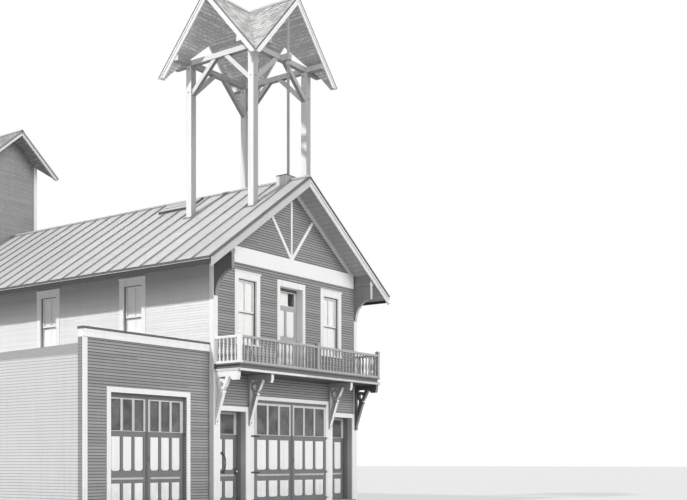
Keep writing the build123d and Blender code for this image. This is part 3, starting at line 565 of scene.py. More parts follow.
# what each CAD node is finished with: its slot's finish, or one of its own
bySlot = {
    "siding_front": "wallFront", "siding_side": "wallSide", "siding_tower": "wallTower",
    "metal_roof": "roofMetal", "shingles": "underShingles", "weathered_timber": "posts",
    "dark_metal": "iron", "white_trim": "trimWhite", "glass": "glass", "stone": "stone",
    "concrete_floor": "concrete", "floor_boards": "floorWood",
}
byNode = {
    "bay_roof": "bayRoof", "belfry_plates": "beams", "belfry_braces": "beams", "signal_mast": "mast",
    "eave_fascias": "fasciaPaintedShade", "barge_boards": "bargePaint", "sign_board": "signPaint",
    "upper_door": "upperLeaf", "balcony_deck": "deckPaint", "tower_roof": "towerUnder",
    "hinge_lugs": "stripPaint", "entry_recesses": "jambGrey", "window_glass": "windowGlass",
    "door_head_casings": "trimLevel", "bay_cap": "trimLevel", "rake_friezes": "trimLevel",
    "belfry_barge_boards": "trimLevel", "tower_barge_boards": "trimLevel",
    "eave_brackets": "eaveBrackets", "balcony_front_rail": "railPaint", "balcony_side_rails": "railPaint",
    "balcony_brackets": "bracketPaint",
}
byNode.update({name: "leafFrame" for name in frame["bodies"] if name != "root"})  # the six door leaves
slotOf = {part["node"]: part["material_slot"] for part in frame["record"]["subparts"]}
for node in frame["nodes"]:
    shown = bpy.data.objects[node].data
    shown.materials.clear()
    shown.materials.append(finishes[byNode.get(node, bySlot[slotOf[node]])])


# modelling helpers
def newPiece(name, bm, finish, body="root"):
    bmesh.ops.recalc_face_normals(bm, faces=bm.faces)
    mesh = bpy.data.meshes.new(name)
    bm.to_mesh(mesh)
    bm.free()
    mesh.materials.append(finishes[finish])
    obj = newObject(name, mesh)
    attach(obj, body)
    return obj


def addBox(bm, low, high):
    low, high = Vector(low), Vector(high)
    size = [abs(a - b) for a, b in zip(low, high)]
    place = Matrix.Translation((low + high) / 2) @ Matrix.Diagonal((*size, 1))
    return bmesh.ops.create_cube(bm, size=1, matrix=place)["verts"]


# a mesh of boxes, each given by two opposite corners
def boxMesh(boxes):
    bm = bmesh.new()
    for low, high in boxes:
        addBox(bm, low, high)
    return bm


# adds one part's mesh to a larger one, in its place
def mergeInto(whole, part, place=Matrix.Identity(4)):
    bmesh.ops.transform(part, matrix=place, verts=part.verts)
    mesh = bpy.data.meshes.new("part")
    part.to_mesh(mesh)
    part.free()
    whole.from_mesh(mesh)
    bpy.data.meshes.remove(mesh)


# a straight bar from a to b, wide across and deep towards out
def addBar(bm, a, b, wide, deep, out):
    a, b = Vector(a), Vector(b)
    along = (b - a).normalized()
    across = Vector(out).cross(along).normalized()
    turn = Matrix((along, across, along.cross(across))).transposed().to_4x4()
    size = Matrix.Diagonal(((b - a).length, wide, deep, 1))
    bmesh.ops.create_cube(bm, size=1, matrix=Matrix.Translation((a + b) / 2) @ turn @ size)


def addRod(bm, a, b, radius, sides=10):
    a, b = Vector(a), Vector(b)
    place = Matrix.Translation((a + b) / 2) @ (b - a).to_track_quat("Z", "Y").to_matrix().to_4x4()
    bmesh.ops.create_cone(bm, cap_ends=True, segments=sides, radius1=radius, radius2=radius,
                          depth=(b - a).length, matrix=place)


def addBolt(bm, place, out, radius=0.009, high=0.006):
    addRod(bm, place, Vector(place) + Vector(out) * high, radius, 8)


def softenEdges(bm, offset):
    bmesh.ops.bevel(bm, geom=bm.edges[:], offset=offset, offset_type="OFFSET", affect="EDGES", segments=1,
                    profile=0.5, material=-1, clamp_overlap=True)


# gives one board or stone a value of its own, which its finish reads as a tone
def giveTone(verts, layer, value):
    for face in {face for v in verts for face in v.link_faces}:
        face[layer] = value


# places a wall that is laid out with x along it, y outwards and z up
wallSides = {
    "front": ((1, 0, 0), (0, -1, 0)), "rear": ((1, 0, 0), (0, 1, 0)),
    "left": ((0, 1, 0), (-1, 0, 0)), "right": ((0, 1, 0), (1, 0, 0)),
}


def wallMatrix(x, y, side):
    along, out = wallSides[side]
    return Matrix.Translation((x, y, 0)) @ Matrix((Vector(along), Vector(out), up)).transposed().to_4x4()


# what is left of a course between openings (left, right, bottom, top)
def clearRuns(left, right, low, high, holes, shortest=0.02):
    runs = [(left, right)]
    for holeLeft, holeRight, bottom, top in holes:
        if top <= low or bottom >= high:
            continue
        cut = []
        for a, b in runs:
            if a < holeLeft:
                cut.append((a, min(b, holeLeft)))
            if b > holeRight:
                cut.append((max(a, holeRight), b))
        runs = [(a, b) for a, b in cut if b - a > shortest]
    return runs


# lapped boards or shingles in level courses, each a wedge with its thick edge down
def layCourses(s, low, high, widthAt, holes, place, seed):
    rng = random.Random(seed)
    bm = bmesh.new()
    tone = bm.faces.layers.float.new("tone")
    least = s["lengths"][0] * 0.3
    z = low
    while z < high - 0.01:
        top = min(z + s["exposure"] + s["lap"], high)
        left, right = widthAt(z, min(z + s["exposure"], high))
        for a, b in clearRuns(left, right, z, top, holes):
            x = a
            first = rng.uniform(0.3, 1.0)  # the first board of a run is cut short
            while x < b - 0.001:
                end = x + first * rng.uniform(*s["lengths"])
                first = 1.0
                if b - end < least:
                    end = b
                sag = rng.uniform(0, s["uneven"])
                made = addBox(bm, (x + s["gap"], 0, z - sag), (end - s["gap"], s["butt"], top))
                for v in made:
                    if v.co.y > 0 and v.co.z > z + 0.01:
                        v.co.y = s["tip"]
                giveTone(made, tone, rng.uniform(-1, 1))
                x = end
        z += s["exposure"]
    bmesh.ops.transform(bm, matrix=place, verts=bm.verts)
    return bm


# clapboards on every outside wall; they run a little way under the casings
clapboards = {
    "exposure": clapPitch, "lap": 0.010, "butt": 0.014, "tip": 0.004, "gap": 0.001, "lengths": (2.2, 4.3),
    "uneven": 0.0015, "margin": 0.03, "apexGap": 0.05, "frontFoot": 2.515, "towerFoot": 6.241,
}
# windows: half their width, sill and head of the front's and of the other sides' rows, and their places
windows = {
    "half": 0.38, "upper": (4.23, 5.91), "sides": ((4.2, 5.88), (1.0, 2.6)), "ys": (-3.2, 0.25, 3.7),
    "xs": (-1.8, 1.8),
}


def windowHole(centre, low, high):
    reach, margin = windows["half"] + clapboards["margin"], clapboards["margin"]
    return (centre - reach, centre + reach, low - margin, high + margin)


def straight(left, right):
    return lambda low, high: (left, right)


def underGable(half, apex, slope):
    def widthAt(low, high):
        reach = min(half, (apex - high) / slope)
        return -reach, reach
    return widthAt


# other openings and joined parts: left, right, bottom and top in the wall's own axes
openings = {
    "balconyDoor": (-0.54, 0.54, 3.45, 5.97), "engineDoor": (-1.62, 1.62, 0.0, 2.85),
    "besideBay": (bay["front"], bay["rear"], 0.0, 3.6),
    "besideTower": (-tower["half"], tower["half"], 0.0, 9.0),
    "bayDoor": (bay["doorLeft"] - clapboards["margin"], bay["doorRight"] + clapboards["margin"], 0.0,
                bay["doorTop"]),
}
soffitApex = house["ridge"] - house["roofDrop"]
wallTop = soffitApex - house["slope"] * house["half"]
towerTop = tower["lining"] - tower["sideSlope"] * tower["half"]
wallHoles = {
    "front": [windowHole(x, *windows["upper"]) for x in windows["xs"]]
    + [openings["balconyDoor"], openings["engineDoor"]],
    "left": [windowHole(y, *windows["sides"][0]) for y in windows["ys"]] + [openings["besideBay"]],
    "right": [windowHole(y, *row) for y in windows["ys"] for row in windows["sides"]],
    "rear": [windowHole(x, *row) for x in windows["xs"] for row in windows["sides"]]
    + [openings["besideTower"]],
    "bay": [openings["bayDoor"]],
}


def addClapboards(s):
    half, wide, foot = house["half"], tower["half"], house["foot"]
    length = straight(house["front"], house["rear"])
    bayWidth = straight(bay["left"], -half)
    gable = underGable(half, soffitApex, house["slope"])
    towerGable = underGable(wide, tower["lining"], tower["slope"])
    towerSide = underGable(wide, tower["lining"], tower["sideSlope"])
    top, towerHigh = soffitApex - s["apexGap"], tower["lining"] - s["apexGap"]
    rows = [
        ("front", "Front", (0, house["front"], "front"), s["frontFoot"], top, gable),
        ("left", "Side", (-half, 0, "left"), foot, wallTop, length),
        ("right", "Side", (half, 0, "right"), foot, wallTop, length),
        ("rear", "Side", (0, house["rear"], "rear"), foot, top, gable),
        ("bay", "Front", (0, bay["front"], "front"), foot, bay["top"], bayWidth),
        ("bay_rear", "Side", (0, bay["rear"], "rear"), foot, bay["rearTop"], bayWidth),
        ("tower_front", "Tower", (0, tower["front"], "front"), s["towerFoot"], towerHigh, towerGable),
        ("tower_rear", "Tower", (0, tower["rear"], "rear"), foot, towerHigh, towerGable),
        ("tower_left", "Tower", (-wide, tower["y"], "left"), foot, towerHigh, towerSide),
        ("tower_right", "Tower", (wide, tower["y"], "right"), foot, towerHigh, towerSide),
    ]
    for seed, (name, kind, wall, low, high, widthAt) in enumerate(rows):
        bm = layCourses(s, low, high, widthAt, wallHoles.get(name, []), wallMatrix(*wall), seed)
        newPiece("clapboards_" + name, bm, "siding" + kind)


addClapboards(clapboards)
print("clapboards laid")

# corner boards on the walls that the CAD model leaves bare
trimSettings = {"width": 0.12, "thick": 0.026, "towerWidth": 0.1, "towerFoot": 6.2}


def addCornerTrim(s):
    t, w, half, foot = s["thick"], s["width"], house["half"], house["foot"]
    bm = bmesh.new()
    for side in (-1, 1):
        wall, face = side * half, side * (half + t)
        addBox(bm, (wall, house["front"], foot), (face, house["front"] + w, wallTop))
        addBox(bm, (wall, house["rear"] - w, foot), (face, house["rear"] + t, wallTop))
        addBox(bm, (side * (half - w), house["rear"], foot), (wall, house["rear"] + t, wallTop))
    left = bay["left"]
    addBox(bm, (left, bay["front"] - t, foot), (left + w, bay["front"], bay["top"]))
    addBox(bm, (left, bay["rear"], foot), (left + w, bay["rear"] + t, bay["rearTop"]))
    newPiece("corner_trim", bm, "trimWhite")
    bm = bmesh.new()
    w = s["towerWidth"]
    for x in (-1, 1):
        wall, face = x * tower["half"], x * (tower["half"] + t)
        for y, out, low in ((tower["front"], -1, s["towerFoot"]), (tower["rear"], 1, foot)):
            addBox(bm, (wall, y - out * w, low), (face, y + out * t, towerTop))
            addBox(bm, (wall, y, low), (wall - x * w, y + out * t, towerTop))
    newPiece("tower_corner_trim", bm, "trimWhite")


addCornerTrim(trimSettings)

# standing seams, ridge roll and metal edges of the main roof
seamSettings = {
    "first": -6.13, "pitch": 0.6, "wide": 0.03, "high": 0.036, "sunk": 0.004, "top": 0.012,
    "pastEave": 0.028, "ridge": 0.045, "ridgeLift": 0.012, "pastVerge": 0.03, "edge": 0.05,
    "edgeThick": 0.014, "edgeLift": 0.006, "edgePast": 0.03, "edgeIn": 0.02, "besideTower": 1.045,
    "drip": {"off": 0.004, "half": 0.012, "low": 0.045, "high": 0.008},
}
roofSteep = math.hypot(1, house["slope"])


# a point on or above the main roof's upper face
def roofPoint(x, y, lift):
    side = math.copysign(1, x)
    return Vector((x + side * lift * house["slope"] / roofSteep, y,
                   house["ridge"] - house["slope"] * abs(x) + lift / roofSteep))


# a bar that lies on the main roof from one (x, y) to another on the same slope
def addRoofBar(bm, start, end, lift, wide, deep):
    out = (math.copysign(1, start[0]) * house["slope"] / roofSteep, 0, 1 / roofSteep)
    addBar(bm, roofPoint(*start, lift), roofPoint(*end, lift), wide, deep, out)


def addSeams(s):
    eave, verge, rearVerge = house["eave"], house["verge"], house["rearVerge"]
    bm = bmesh.new()
    for side in (-1, 1):
        y = s["first"]
        while y < rearVerge - s["edge"]:
            top = s["besideTower"] if y > house["rear"] - s["edge"] else s["top"]
            addRoofBar(bm, (side * top, y), (side * (eave + s["pastEave"]), y), s["high"] / 2 - s["sunk"],
                       s["wide"], s["high"])
            y += s["pitch"]
    newPiece("roof_seams", bm, "seamMetal")
    bm = bmesh.new()
    z = house["ridge"] + s["ridgeLift"]
    addRod(bm, (0, verge - s["pastVerge"], z), (0, house["rear"], z), s["ridge"], 12)
    newPiece("ridge_roll", bm, "ridgeMetal")
    bm = bmesh.new()
    past, drip = eave + s["edgePast"], s["drip"]
    foot = house["ridge"] - house["slope"] * past
    for side in (-1, 1):
        for y, start in ((verge + s["edgeIn"], 0.01), (rearVerge - s["edgeIn"], s["besideTower"] + 0.01)):
            addRoofBar(bm, (side * start, y), (side * past, y), s["edgeLift"], s["edge"], s["edgeThick"])
        x = side * (past + drip["off"])
        addBox(bm, (x - drip["half"], verge, foot - drip["low"]),
               (x + drip["half"], rearVerge, foot + drip["high"]))
    newPiece("roof_edges", bm, "edgeMetal")


addSeams(seamSettings)
print("roof seams laid")

# shingles and ridge boards of the belfry and the tower, laid slope by slope
shingleSettings = {
    "exposure": 0.125, "lap": 0.02, "butt": 0.018, "tip": 0.005, "gap": 0.003, "lengths": (0.09, 0.19),
    "uneven": 0.012, "proud": 0.012, "firstSeed": 50, "overValley": 0.05, "ridgeWide": 0.13,
    "ridgeThick": 0.016, "ridgeIn": 0.05, "ridgeLift": 0.02,
}


# places a slope that is laid out with x along the eave, y off the surface and z up the slope
def slopeMatrix(foot, along, upSlope):
    along, upSlope = along.normalized(), upSlope.normalized()
    out = along.cross(upSlope)
    if out.z < 0:
        out = -out
    return Matrix.Translation(foot) @ Matrix((along, out, upSlope)).transposed().to_4x4()


# the four ridges of a roof of crossing gables: way, reach, half width, slope, the other gables' slope
def ridgesOf(roof):
    front = (roof["along"], roof["across"], roof["slope"], roof["sideSlope"])
    side = (roof["across"], roof["along"], roof["sideSlope"], roof["slope"])
    ways = (((0, -1, 0), front), ((1, 0, 0), side), ((0, 1, 0), front), ((-1, 0, 0), side))
    return [(Vector(way), *sizes) for way, sizes in ways]


def addShingles(name, roof, finish, s):
    bm = bmesh.new()
    centre = Vector((0, roof["y"], roof["ridge"]))
    for number, (way, reach, half, slope, other) in enumerate(ridgesOf(roof)):
        reach, half = reach + s["proud"], half + s["proud"]
        steep = math.hypot(1, slope)

        # from the valley, where both slopes meet, to the gable
        def visible(low, high):
            valley = (half - (low + high) / 2 / steep) * slope / other
            return max(valley - s["overValley"], 0.0), reach

        for side in (-1, 1):
            down = way.cross(up) * side
            place = slopeMatrix(centre + down * half - up * (slope * half), way, up * slope - down)
            seed = s["firstSeed"] + 2 * number + side
            mergeInto(bm, layCourses(s, 0, half * steep, visible, [], place, seed))
            out = (down * slope + up).normalized()
            a = centre + (down - up * slope) * s["ridgeIn"] + up * s["ridgeLift"] + out * s["proud"]
            addBar(bm, a, a + way * reach, s["ridgeWide"], s["ridgeThick"], out)
    newPiece(name, bm, finish)


addShingles("belfry_shingles", belfry, "shingles", shingleSettings)
addShingles("tower_shingles", tower, "towerShingles", shingleSettings)
print("shingles laid")

# mouldings along the barge boards, the eaves, the balcony and the bay's cap; on a gable, a strip is its
# drop below the roof's upper line, its width, its depth and how far it runs past the foot
mouldings = {
    "bargeFace": 0.03, "strip": (0.075, 0.045, 0.022, 0.01), "edge": (0.008, 0.034, 0.03, 0.015),
    "belfryStrip": (0.04, 0.045, 0.022), "belfryEdge": (0.008, 0.03, 0.026),
    "towerStrip": (0.085, 0.04, 0.022), "towerEdge": (0.022, 0.06, 0.026), "gablePast": 0.01,
    "rearFrom": 1.05, "eaveBand": (0.03, 0.014, 0.075, 0.05),
    "return": {"x": (-0.14, 0.03), "out": 0.012, "drop": 0.205, "wide": 0.08, "deep": 0.03},
    "balcony": 0.86, "balconyRows": ((3.476, 0.02, 0.014), (3.441, 0.022, 0.008)),
    "bayCoping": (0.01, -0.055, 0.16, 0.175, 0.23),
    "bayStrips": ((0.0, -0.058, -0.03, 0.0, 0.035), (0.0, -0.05, -0.03, 0.125, 0.175)),
}


# a strip down both rakes of a gable, from one distance beside the ridge
def addRakeStrip(bm, start, y, out, strip):
    drop, wide, deep, past = strip
    slope, end = house["slope"], house["eave"] + past
    top = house["ridge"] - drop * roofSteep
    for side in (-1, 1):
        a = (side * start, y + out * deep / 2, top - slope * start)
        b = (side * end, y + out * deep / 2, top - slope * end)
        addBar(bm, a, b, deep, wide, (side * slope / roofSteep, 0, 1 / roofSteep))


# takes off what hangs below a level
def cutBelow(bm, level):
    parts = bm.verts[:] + bm.edges[:] + bm.faces[:]
    made = bmesh.ops.bisect_plane(bm, geom=parts, plane_co=(0, 0, level), plane_no=-up, clear_outer=True)
    cut = [e for e in made["geom_cut"] if isinstance(e, bmesh.types.BMEdge)]
    bmesh.ops.holes_fill(bm, edges=cut, sides=4)


# a strip on the eight rakes of a roof of crossing gables
def addGableStrip(strips, roof, strip, past):
    drop, wide, deep = strip
    bm = bmesh.new()
    centre = Vector((0, roof["y"], roof["ridge"]))
    for way, reach, half, slope, _ in ridgesOf(roof):
        for side in (-1, 1):
            across = way.cross(up) * side
            out = (across * slope + up).normalized()
            start = centre + way * (reach + deep / 2) - out * drop
            addBar(bm, start, start + (across - up * slope) * (half + past), deep, wide, out)
    cutBelow(bm, roof["foot"])
    mergeInto(strips, bm)


def addRakeMouldings(s):
    eave, verge, rear = house["eave"], house["verge"], house["rearVerge"]
    face = verge - s["bargeFace"]
    strips, white, dark, towerEdges = bmesh.new(), bmesh.new(), bmesh.new(), bmesh.new()
    addRakeStrip(strips, 0, face, -1, s["strip"])
    addRakeStrip(dark, 0, face, -1, s["edge"])
    addRakeStrip(white, s["rearFrom"], rear + s["bargeFace"], 1, s["strip"])
    top = house["ridge"] - house["slope"] * eave
    past, thick, low, high = s["eaveBand"]
    for side in (-1, 1):
        x = side * (eave + past)
        addBox(white, (x, verge, top - low), (x + side * thick, rear, top - high))
    # cornice return at the right foot of the front barge boards
    r = s["return"]
    start, end = ((eave + x, face - r["out"], top - r["drop"]) for x in r["x"])
    addBar(white, start, end, r["wide"], r["deep"], up)
    addGableStrip(white, belfry, s["belfryStrip"], s["gablePast"])
    addGableStrip(dark, belfry, s["belfryEdge"], s["gablePast"])
    addGableStrip(white, tower, s["towerStrip"], s["gablePast"])
    addGableStrip(towerEdges, tower, s["towerEdge"], s["gablePast"])
    newPiece("front_rake_strips", strips, "bargePaint")
    newPiece("rake_mouldings", white, "trimLevel")
    newPiece("rake_edges", dark, "edgeMetal")
    newPiece("tower_rake_edges", towerEdges, "seamMetal")


# level strips round the balcony's edge
def addBalconyMouldings(s):
    half, back = house["half"], house["front"] - 0.03
    front = house["front"] - s["balcony"]
    bm = bmesh.new()
    for z, wide, proud in s["balconyRows"]:
        low, high, end = z - wide / 2, z + wide / 2, half + proud
        addBox(bm, (-end, front - proud, low), (end, front + 0.03, high))
        for side in (-1, 1):
            addBox(bm, (side * (half - 0.03), front, low), (side * end, back, high))
    newPiece("balcony_mouldings", bm, "balconyEdge")


# a strip is how far it passes the left end, its y from the front and its z from the wall's top
def addBayMouldings(s):
    left, front, top, right = bay["left"], bay["front"], bay["top"], -house["half"]

    def strip(past, near, far, low, high):
        return (left - past, front + near, top + low), (right, front + far, top + high)

    newPiece("bay_coping", boxMesh([strip(*s["bayCoping"])]), "edgeMetal")
    strips = boxMesh([strip(*one) for one in s["bayStrips"]])
    newPiece("bay_cap_mouldings", strips, "trimLevel")


addRakeMouldings(mouldings)
addBalconyMouldings(mouldings)
addBayMouldings(mouldings)
print("mouldings fitted")

# panels, lock-rail strips and glazing beads of the door leaves, each in place with the leaf shut
leafSettings = {
    "thick": 0.048, "stile": 0.1, "mullion": 0.07, "rows": ((0.27, 0.705), (0.985, 1.775)), "margin": 0.025,
    "marginUp": 0.004, "sunk": 0.014, "bed": 0.008, "field": 0.022, "raise": 0.005, "round": 0.062,
    "light": 1.908, "topRail": 0.06, "bead": (0.014, 0.012, 0.006), "strip": 0.85, "stripHalf": 0.022,
    "stripIn": 0.11, "stripThick": 0.012, "cover": (0.004, 0.034), "coverFoot": 0.12, "coverThick": 0.008,
    "coverTop": 0.01, "railBed": 0.018, "railIn": 0.012, "railThick": 0.007, "railTop": 0.006,
    "railBeadIn": 0.09, "railBead": 0.027, "railBeadThick": 0.009,
}
leafKinds = {
    "engine": {"face": -6.128, "top": 2.732, "panels": 3, "lights": 3, "opens": 1,
               "hinges": (0.19, 0.92, 1.86), "strapLong": 0.17},
    "entry": {"face": -5.8, "top": 2.472, "panels": 2, "lights": 1, "opens": -1, "hinges": (0.19, 1.86),
              "strapLong": 0.17},
    "bay": {"face": -5.85, "top": 2.752, "panels": 3, "lights": 3, "opens": 1, "hinges": (0.19, 1.86),
            "strapLong": 0.25, "margin": 0.018, "strip": 0.81, "rail": 0.1},
}
leafSpans = {
    "engine_door_left": (-1.547, -0.005), "engine_door_right": (0.005, 1.547),
    "entry_door_left": (-2.837, -1.873), "entry_door_right": (1.873, 2.837),
    "bay_door_left": (-6.252, -5.065), "bay_door_right": (-5.055, -3.868),
}
doorLeaves = {name: {**leafSettings, **leafKinds[name.split("_")[0]], "x": span}
              for name, span in leafSpans.items()}


def columnsOf(s, count):
    left, right = s["x"]
    width = (right - left - 2 * s["stile"] - (count - 1) * s["mullion"]) / count
    starts = [left + s["stile"] + n * (width + s["mullion"]) for n in range(count)]
    return [(start, start + width) for start in starts]


# both surfaces of a leaf, each with its outward direction
def surfacesOf(s):
    return ((s["face"], -1), (s["face"] + s["thick"], 1))


# the hinged edge, the free edge and the sign of x from the free edge towards the hinges
def edgesOf(name, s):
    left, right = s["x"]
    return (left, right, -1) if name.endswith("left") else (right, left, 1)


# a fielded panel with its dark margin left free and its lower corners rounded
def addRaisedPanel(bm, x, z, face, out, s):
    bed = face - out * s["sunk"]
    m, foot = s["margin"], z[0] + s["marginUp"]
    made = addBox(bm, (x[0] + m, bed, foot), (x[1] - m, bed + out * s["bed"], z[1] - s["marginUp"]))
    low = [e for e in {e for v in made for e in v.link_edges}
           if abs(e.verts[0].co.y - e.verts[1].co.y) > s["bed"] / 2 and e.verts[0].co.z < foot + 0.001]
    rounded = bmesh.ops.bevel(bm, geom=low, offset=s["round"], offset_type="OFFSET", affect="EDGES",
                              segments=3, profile=0.5, material=-1)
    corners = {v for v in made if v.is_valid} | {v for f in rounded["faces"] for v in f.verts}
    outer = (bed + out * s["bed"] * 0.75) * out
    front = [f for f in {f for v in corners for f in v.link_faces}
             if len(f.verts) > 4 and f.calc_center_median().y * out > outer]
    bmesh.ops.inset_individual(bm, faces=front, thickness=s["field"], depth=0.0)
    raised = list({v for f in front for v in f.verts})
    bmesh.ops.translate(bm, verts=raised, vec=(0, out * s["raise"], 0))


def addPanels(bm, s, count):
    for row in s["rows"]:
        for column in columnsOf(s, count):
            for surface, out in surfacesOf(s):
                addRaisedPanel(bm, column, row, surface, out, s)


# four beads round a light: their width, how far the level ones run past it and their thickness
def addBeads(bm, left, right, low, high, surface, out, bead):
    wide, past, thick = bead
    for a, b in (((left - past, low - wide), (right + past, low)),
                 ((left - past, high), (right + past, high + wide)),
                 ((left - wide, low), (left, high)), ((right, low), (right + wide, high))):
        addBox(bm, (a[0], surface, a[1]), (b[0], surface + out * thick, b[1]))


def addLeafDetail(name, s):
    left, right = s["x"]
    bm = bmesh.new()
    addPanels(bm, s, s["panels"])
    newPiece(name + "_panels", bm, "panelWhite", name)
    bm = bmesh.new()
    for surface, out in surfacesOf(s):
        addBox(bm, (left + s["stripIn"], surface, s["strip"] - s["stripHalf"]),
               (right - s["stripIn"], surface + out * s["stripThick"], s["strip"] + s["stripHalf"]))
    newPiece(name + "_lock_strip", bm, "lockStrip", name)
    bm = bmesh.new()
    railLow = s["top"] - s.get("rail", 0)
    for surface, out in surfacesOf(s):
        for a, b in columnsOf(s, s["lights"]):
            addBeads(bm, a, b, s["light"], s["top"] - s["topRail"], surface, out, s["bead"])
        if "rail" in s:  # the bead's lower run under the deep top rail
            addBox(bm, (left + s["railBeadIn"], surface - out * s["railBed"], railLow - s["railBead"]),
                   (right - s["railBeadIn"], surface + out * s["railBeadThick"], railLow))
    newPiece(name + "_beads", bm, "leafFrame", name)
    if s["lights"] == 3:  # cover strip beside the meeting edge, painted dark as the shadow in the gap between the leaves, and the bay leaves' deep top rail
        bm = bmesh.new()
        free, side = edgesOf(name, s)[1:]
        a, b = s["cover"]
        for surface, out in surfacesOf(s):
            addBox(bm, (free + side * a, surface, s["coverFoot"]),
                   (free + side * b, surface + out * s["coverThick"], s["top"] - s["coverTop"]))
            if "rail" in s:
                addBox(bm, (left + s["railIn"], surface - out * s["railBed"], railLow),
                       (right - s["railIn"], surface + out * s["railThick"], s["top"] - s["railTop"]))
        newPiece(name + "_cover_strip", bm, "stripPaint", name)


for leafName, leafSizes in doorLeaves.items():
    addLeafDetail(leafName, leafSizes)

# a dark strip along the foot of the engine doorway's head casing, with its drip edge: partly the leaves'
# dark top rail, partly painted shadow under the head
headShadowStrip = {"half": 1.555, "low": 2.742, "high": 2.81, "face": -6.128, "thick": 0.006, "drip": 0.012}


def addHeadShadowStrip(s):
    half, front, high = s["half"], s["face"] - s["thick"], s["high"]
    stop = ((-half, front, s["low"]), (half, s["face"] + 0.003, high))
    drip = ((-half, front - 0.005, high - s["drip"]), (half, s["face"], high))
    newPiece("engine_head_shadow_strip", boxMesh([stop, drip]), "stripPaint")


addHeadShadowStrip(headShadowStrip)

# painted boards that line the wall's thickness in the two set-back entries
liningSettings = {"in": 1.865, "out": 2.845, "y": (-6.1, -5.952), "low": 0.1, "high": 2.48, "thick": 0.005}


def addLinings(s):
    near, far = s["y"]
    bm = bmesh.new()
    for side in (-1, 1):
        for edge, way in (("in", side), ("out", -side)):
            x = side * s[edge]
            a, b = sorted((x - way * 0.002, x + way * s["thick"]))
            addBox(bm, (a, near, s["low"]), (b, far, s["high"]))
        a, b = sorted((side * s["in"], side * s["out"]))
        addBox(bm, (a, near, s["high"] - s["thick"]), (b, far, s["high"] + 0.002))
    newPiece("entry_linings", bm, "liningPaint")


addLinings(liningSettings)

upperDoor = {**leafSettings, "x": (-0.485, 0.485), "face": -5.91, "rows": ((3.85, 4.40), (4.60, 5.31)),
             "pane": (5.45, 5.81), "bead": (0.015, 0.015, 0.008)}


def addUpperDoorDetail(s):
    bm = bmesh.new()
    addPanels(bm, s, 2)
    newPiece("upper_door_panels", bm, "panelWhite")
    bm = bmesh.new()
    for surface, out in surfacesOf(s):
        addBeads(bm, s["x"][0] + s["stile"], s["x"][1] - s["stile"], *s["pane"], surface, out, s["bead"])
    newPiece("upper_door_beads", bm, "trimWhite")


addUpperDoorDetail(upperDoor)
print("door leaves dressed")

# ironwork of the doors: straps over the CAD hinges, latches, knobs and a pull
ironSettings = {
    "strapHigh": 0.036, "strapThick": 0.007, "taper": 0.55, "tip": 0.016, "boltsAt": (0.2, 0.5, 0.8),
    "eyeIn": 0.006, "eyeOut": 0.009, "eyeRadius": 0.0105, "eyeHalf": 0.02, "strapFrom": 0.012,
    "fixedLong": 0.105, "fixedOut": 0.028, "handleIn": 0.055, "plate": (0.035, 0.075), "knobHigh": 0.95,
    "knobPlate": (0.87, 1.03), "stems": (0.045, 0.02), "stemRadius": 0.009, "latches": (1.25, 1.62),
    "latchHalf": 0.05, "grip": (1.2, 1.3), "gripOut": 0.035, "gripRadius": 0.008, "gripEnd": 0.005,
}


# a flat strap that narrows to a rounded end, with three bolts
def addStrap(bm, x, reach, y, out, z, s):
    high, thick = s["strapHigh"] / 2, s["strapThick"]
    for v in addBox(bm, (x, y, z - high), (x + reach, y + out * thick, z + high)):
        if abs(v.co.x - (x + reach)) < 0.001:
            v.co.z = z + (v.co.z - z) * s["taper"]
    middle = y + out * thick / 2
    addRod(bm, (x + reach, middle - thick / 2, z), (x + reach, middle + thick / 2, z), s["tip"], 12)
    for part in s["boltsAt"]:
        addBolt(bm, (x + reach * part, y + out * thick, z), (0, out, 0), 0.007, 0.005)


# hinge straps and eyes on a leaf, and for the engine doors the straps on the casing, in the mesh fixed
def addHinges(bm, fixed, name, leaf, hinged, side, s):
    surface, out = surfacesOf(leaf)[0 if leaf["opens"] > 0 else 1]
    x, y = hinged - side * s["eyeIn"], surface + out * s["eyeOut"]
    for z in leaf["hinges"]:
        addStrap(bm, x - side * s["strapFrom"], -side * leaf["strapLong"], surface, out, z, s)
        addRod(bm, (x, y, z - s["eyeHalf"]), (x, y, z + s["eyeHalf"]), s["eyeRadius"], 14)
        if name.startswith("engine"):
            addStrap(fixed, hinged + side * s["strapFrom"], side * s["fixedLong"],
                     house["front"] - s["fixedOut"], -1, z, s)


# stems and plates of an entry door's knobs
def addKnobPlates(bm, free, side, leaf, s):
    x, z = free + side * s["handleIn"], s["knobHigh"]
    for (y, out), reach in zip(surfacesOf(leaf), s["stems"]):
        addRod(bm, (x, y, z), (x, y + out * reach, z), s["stemRadius"])
        addBox(bm, (free + side * s["plate"][0], y, s["knobPlate"][0]),
               (free + side * s["plate"][1], y + out * 0.004, s["knobPlate"][1]))


# two latch plates and a grip on the right leaf of a pair
def addLatch(bm, free, side, leaf, s):
    x, y = free + side * s["handleIn"], leaf["face"]
    start, end = (free + side * reach for reach in s["plate"])
    for z in s["latches"]:
        addBox(bm, (start, y, z - s["latchHalf"]), (end, y - 0.006, z + s["latchHalf"]))
    low, high = s["grip"]
    addRod(bm, (x, y - s["gripOut"], low), (x, y - s["gripOut"], high), s["gripRadius"], 8)
    for z in (low + s["gripEnd"], high - s["gripEnd"]):
        addRod(bm, (x, y, z), (x, y - s["gripOut"] - 0.003, z), 0.006, 8)


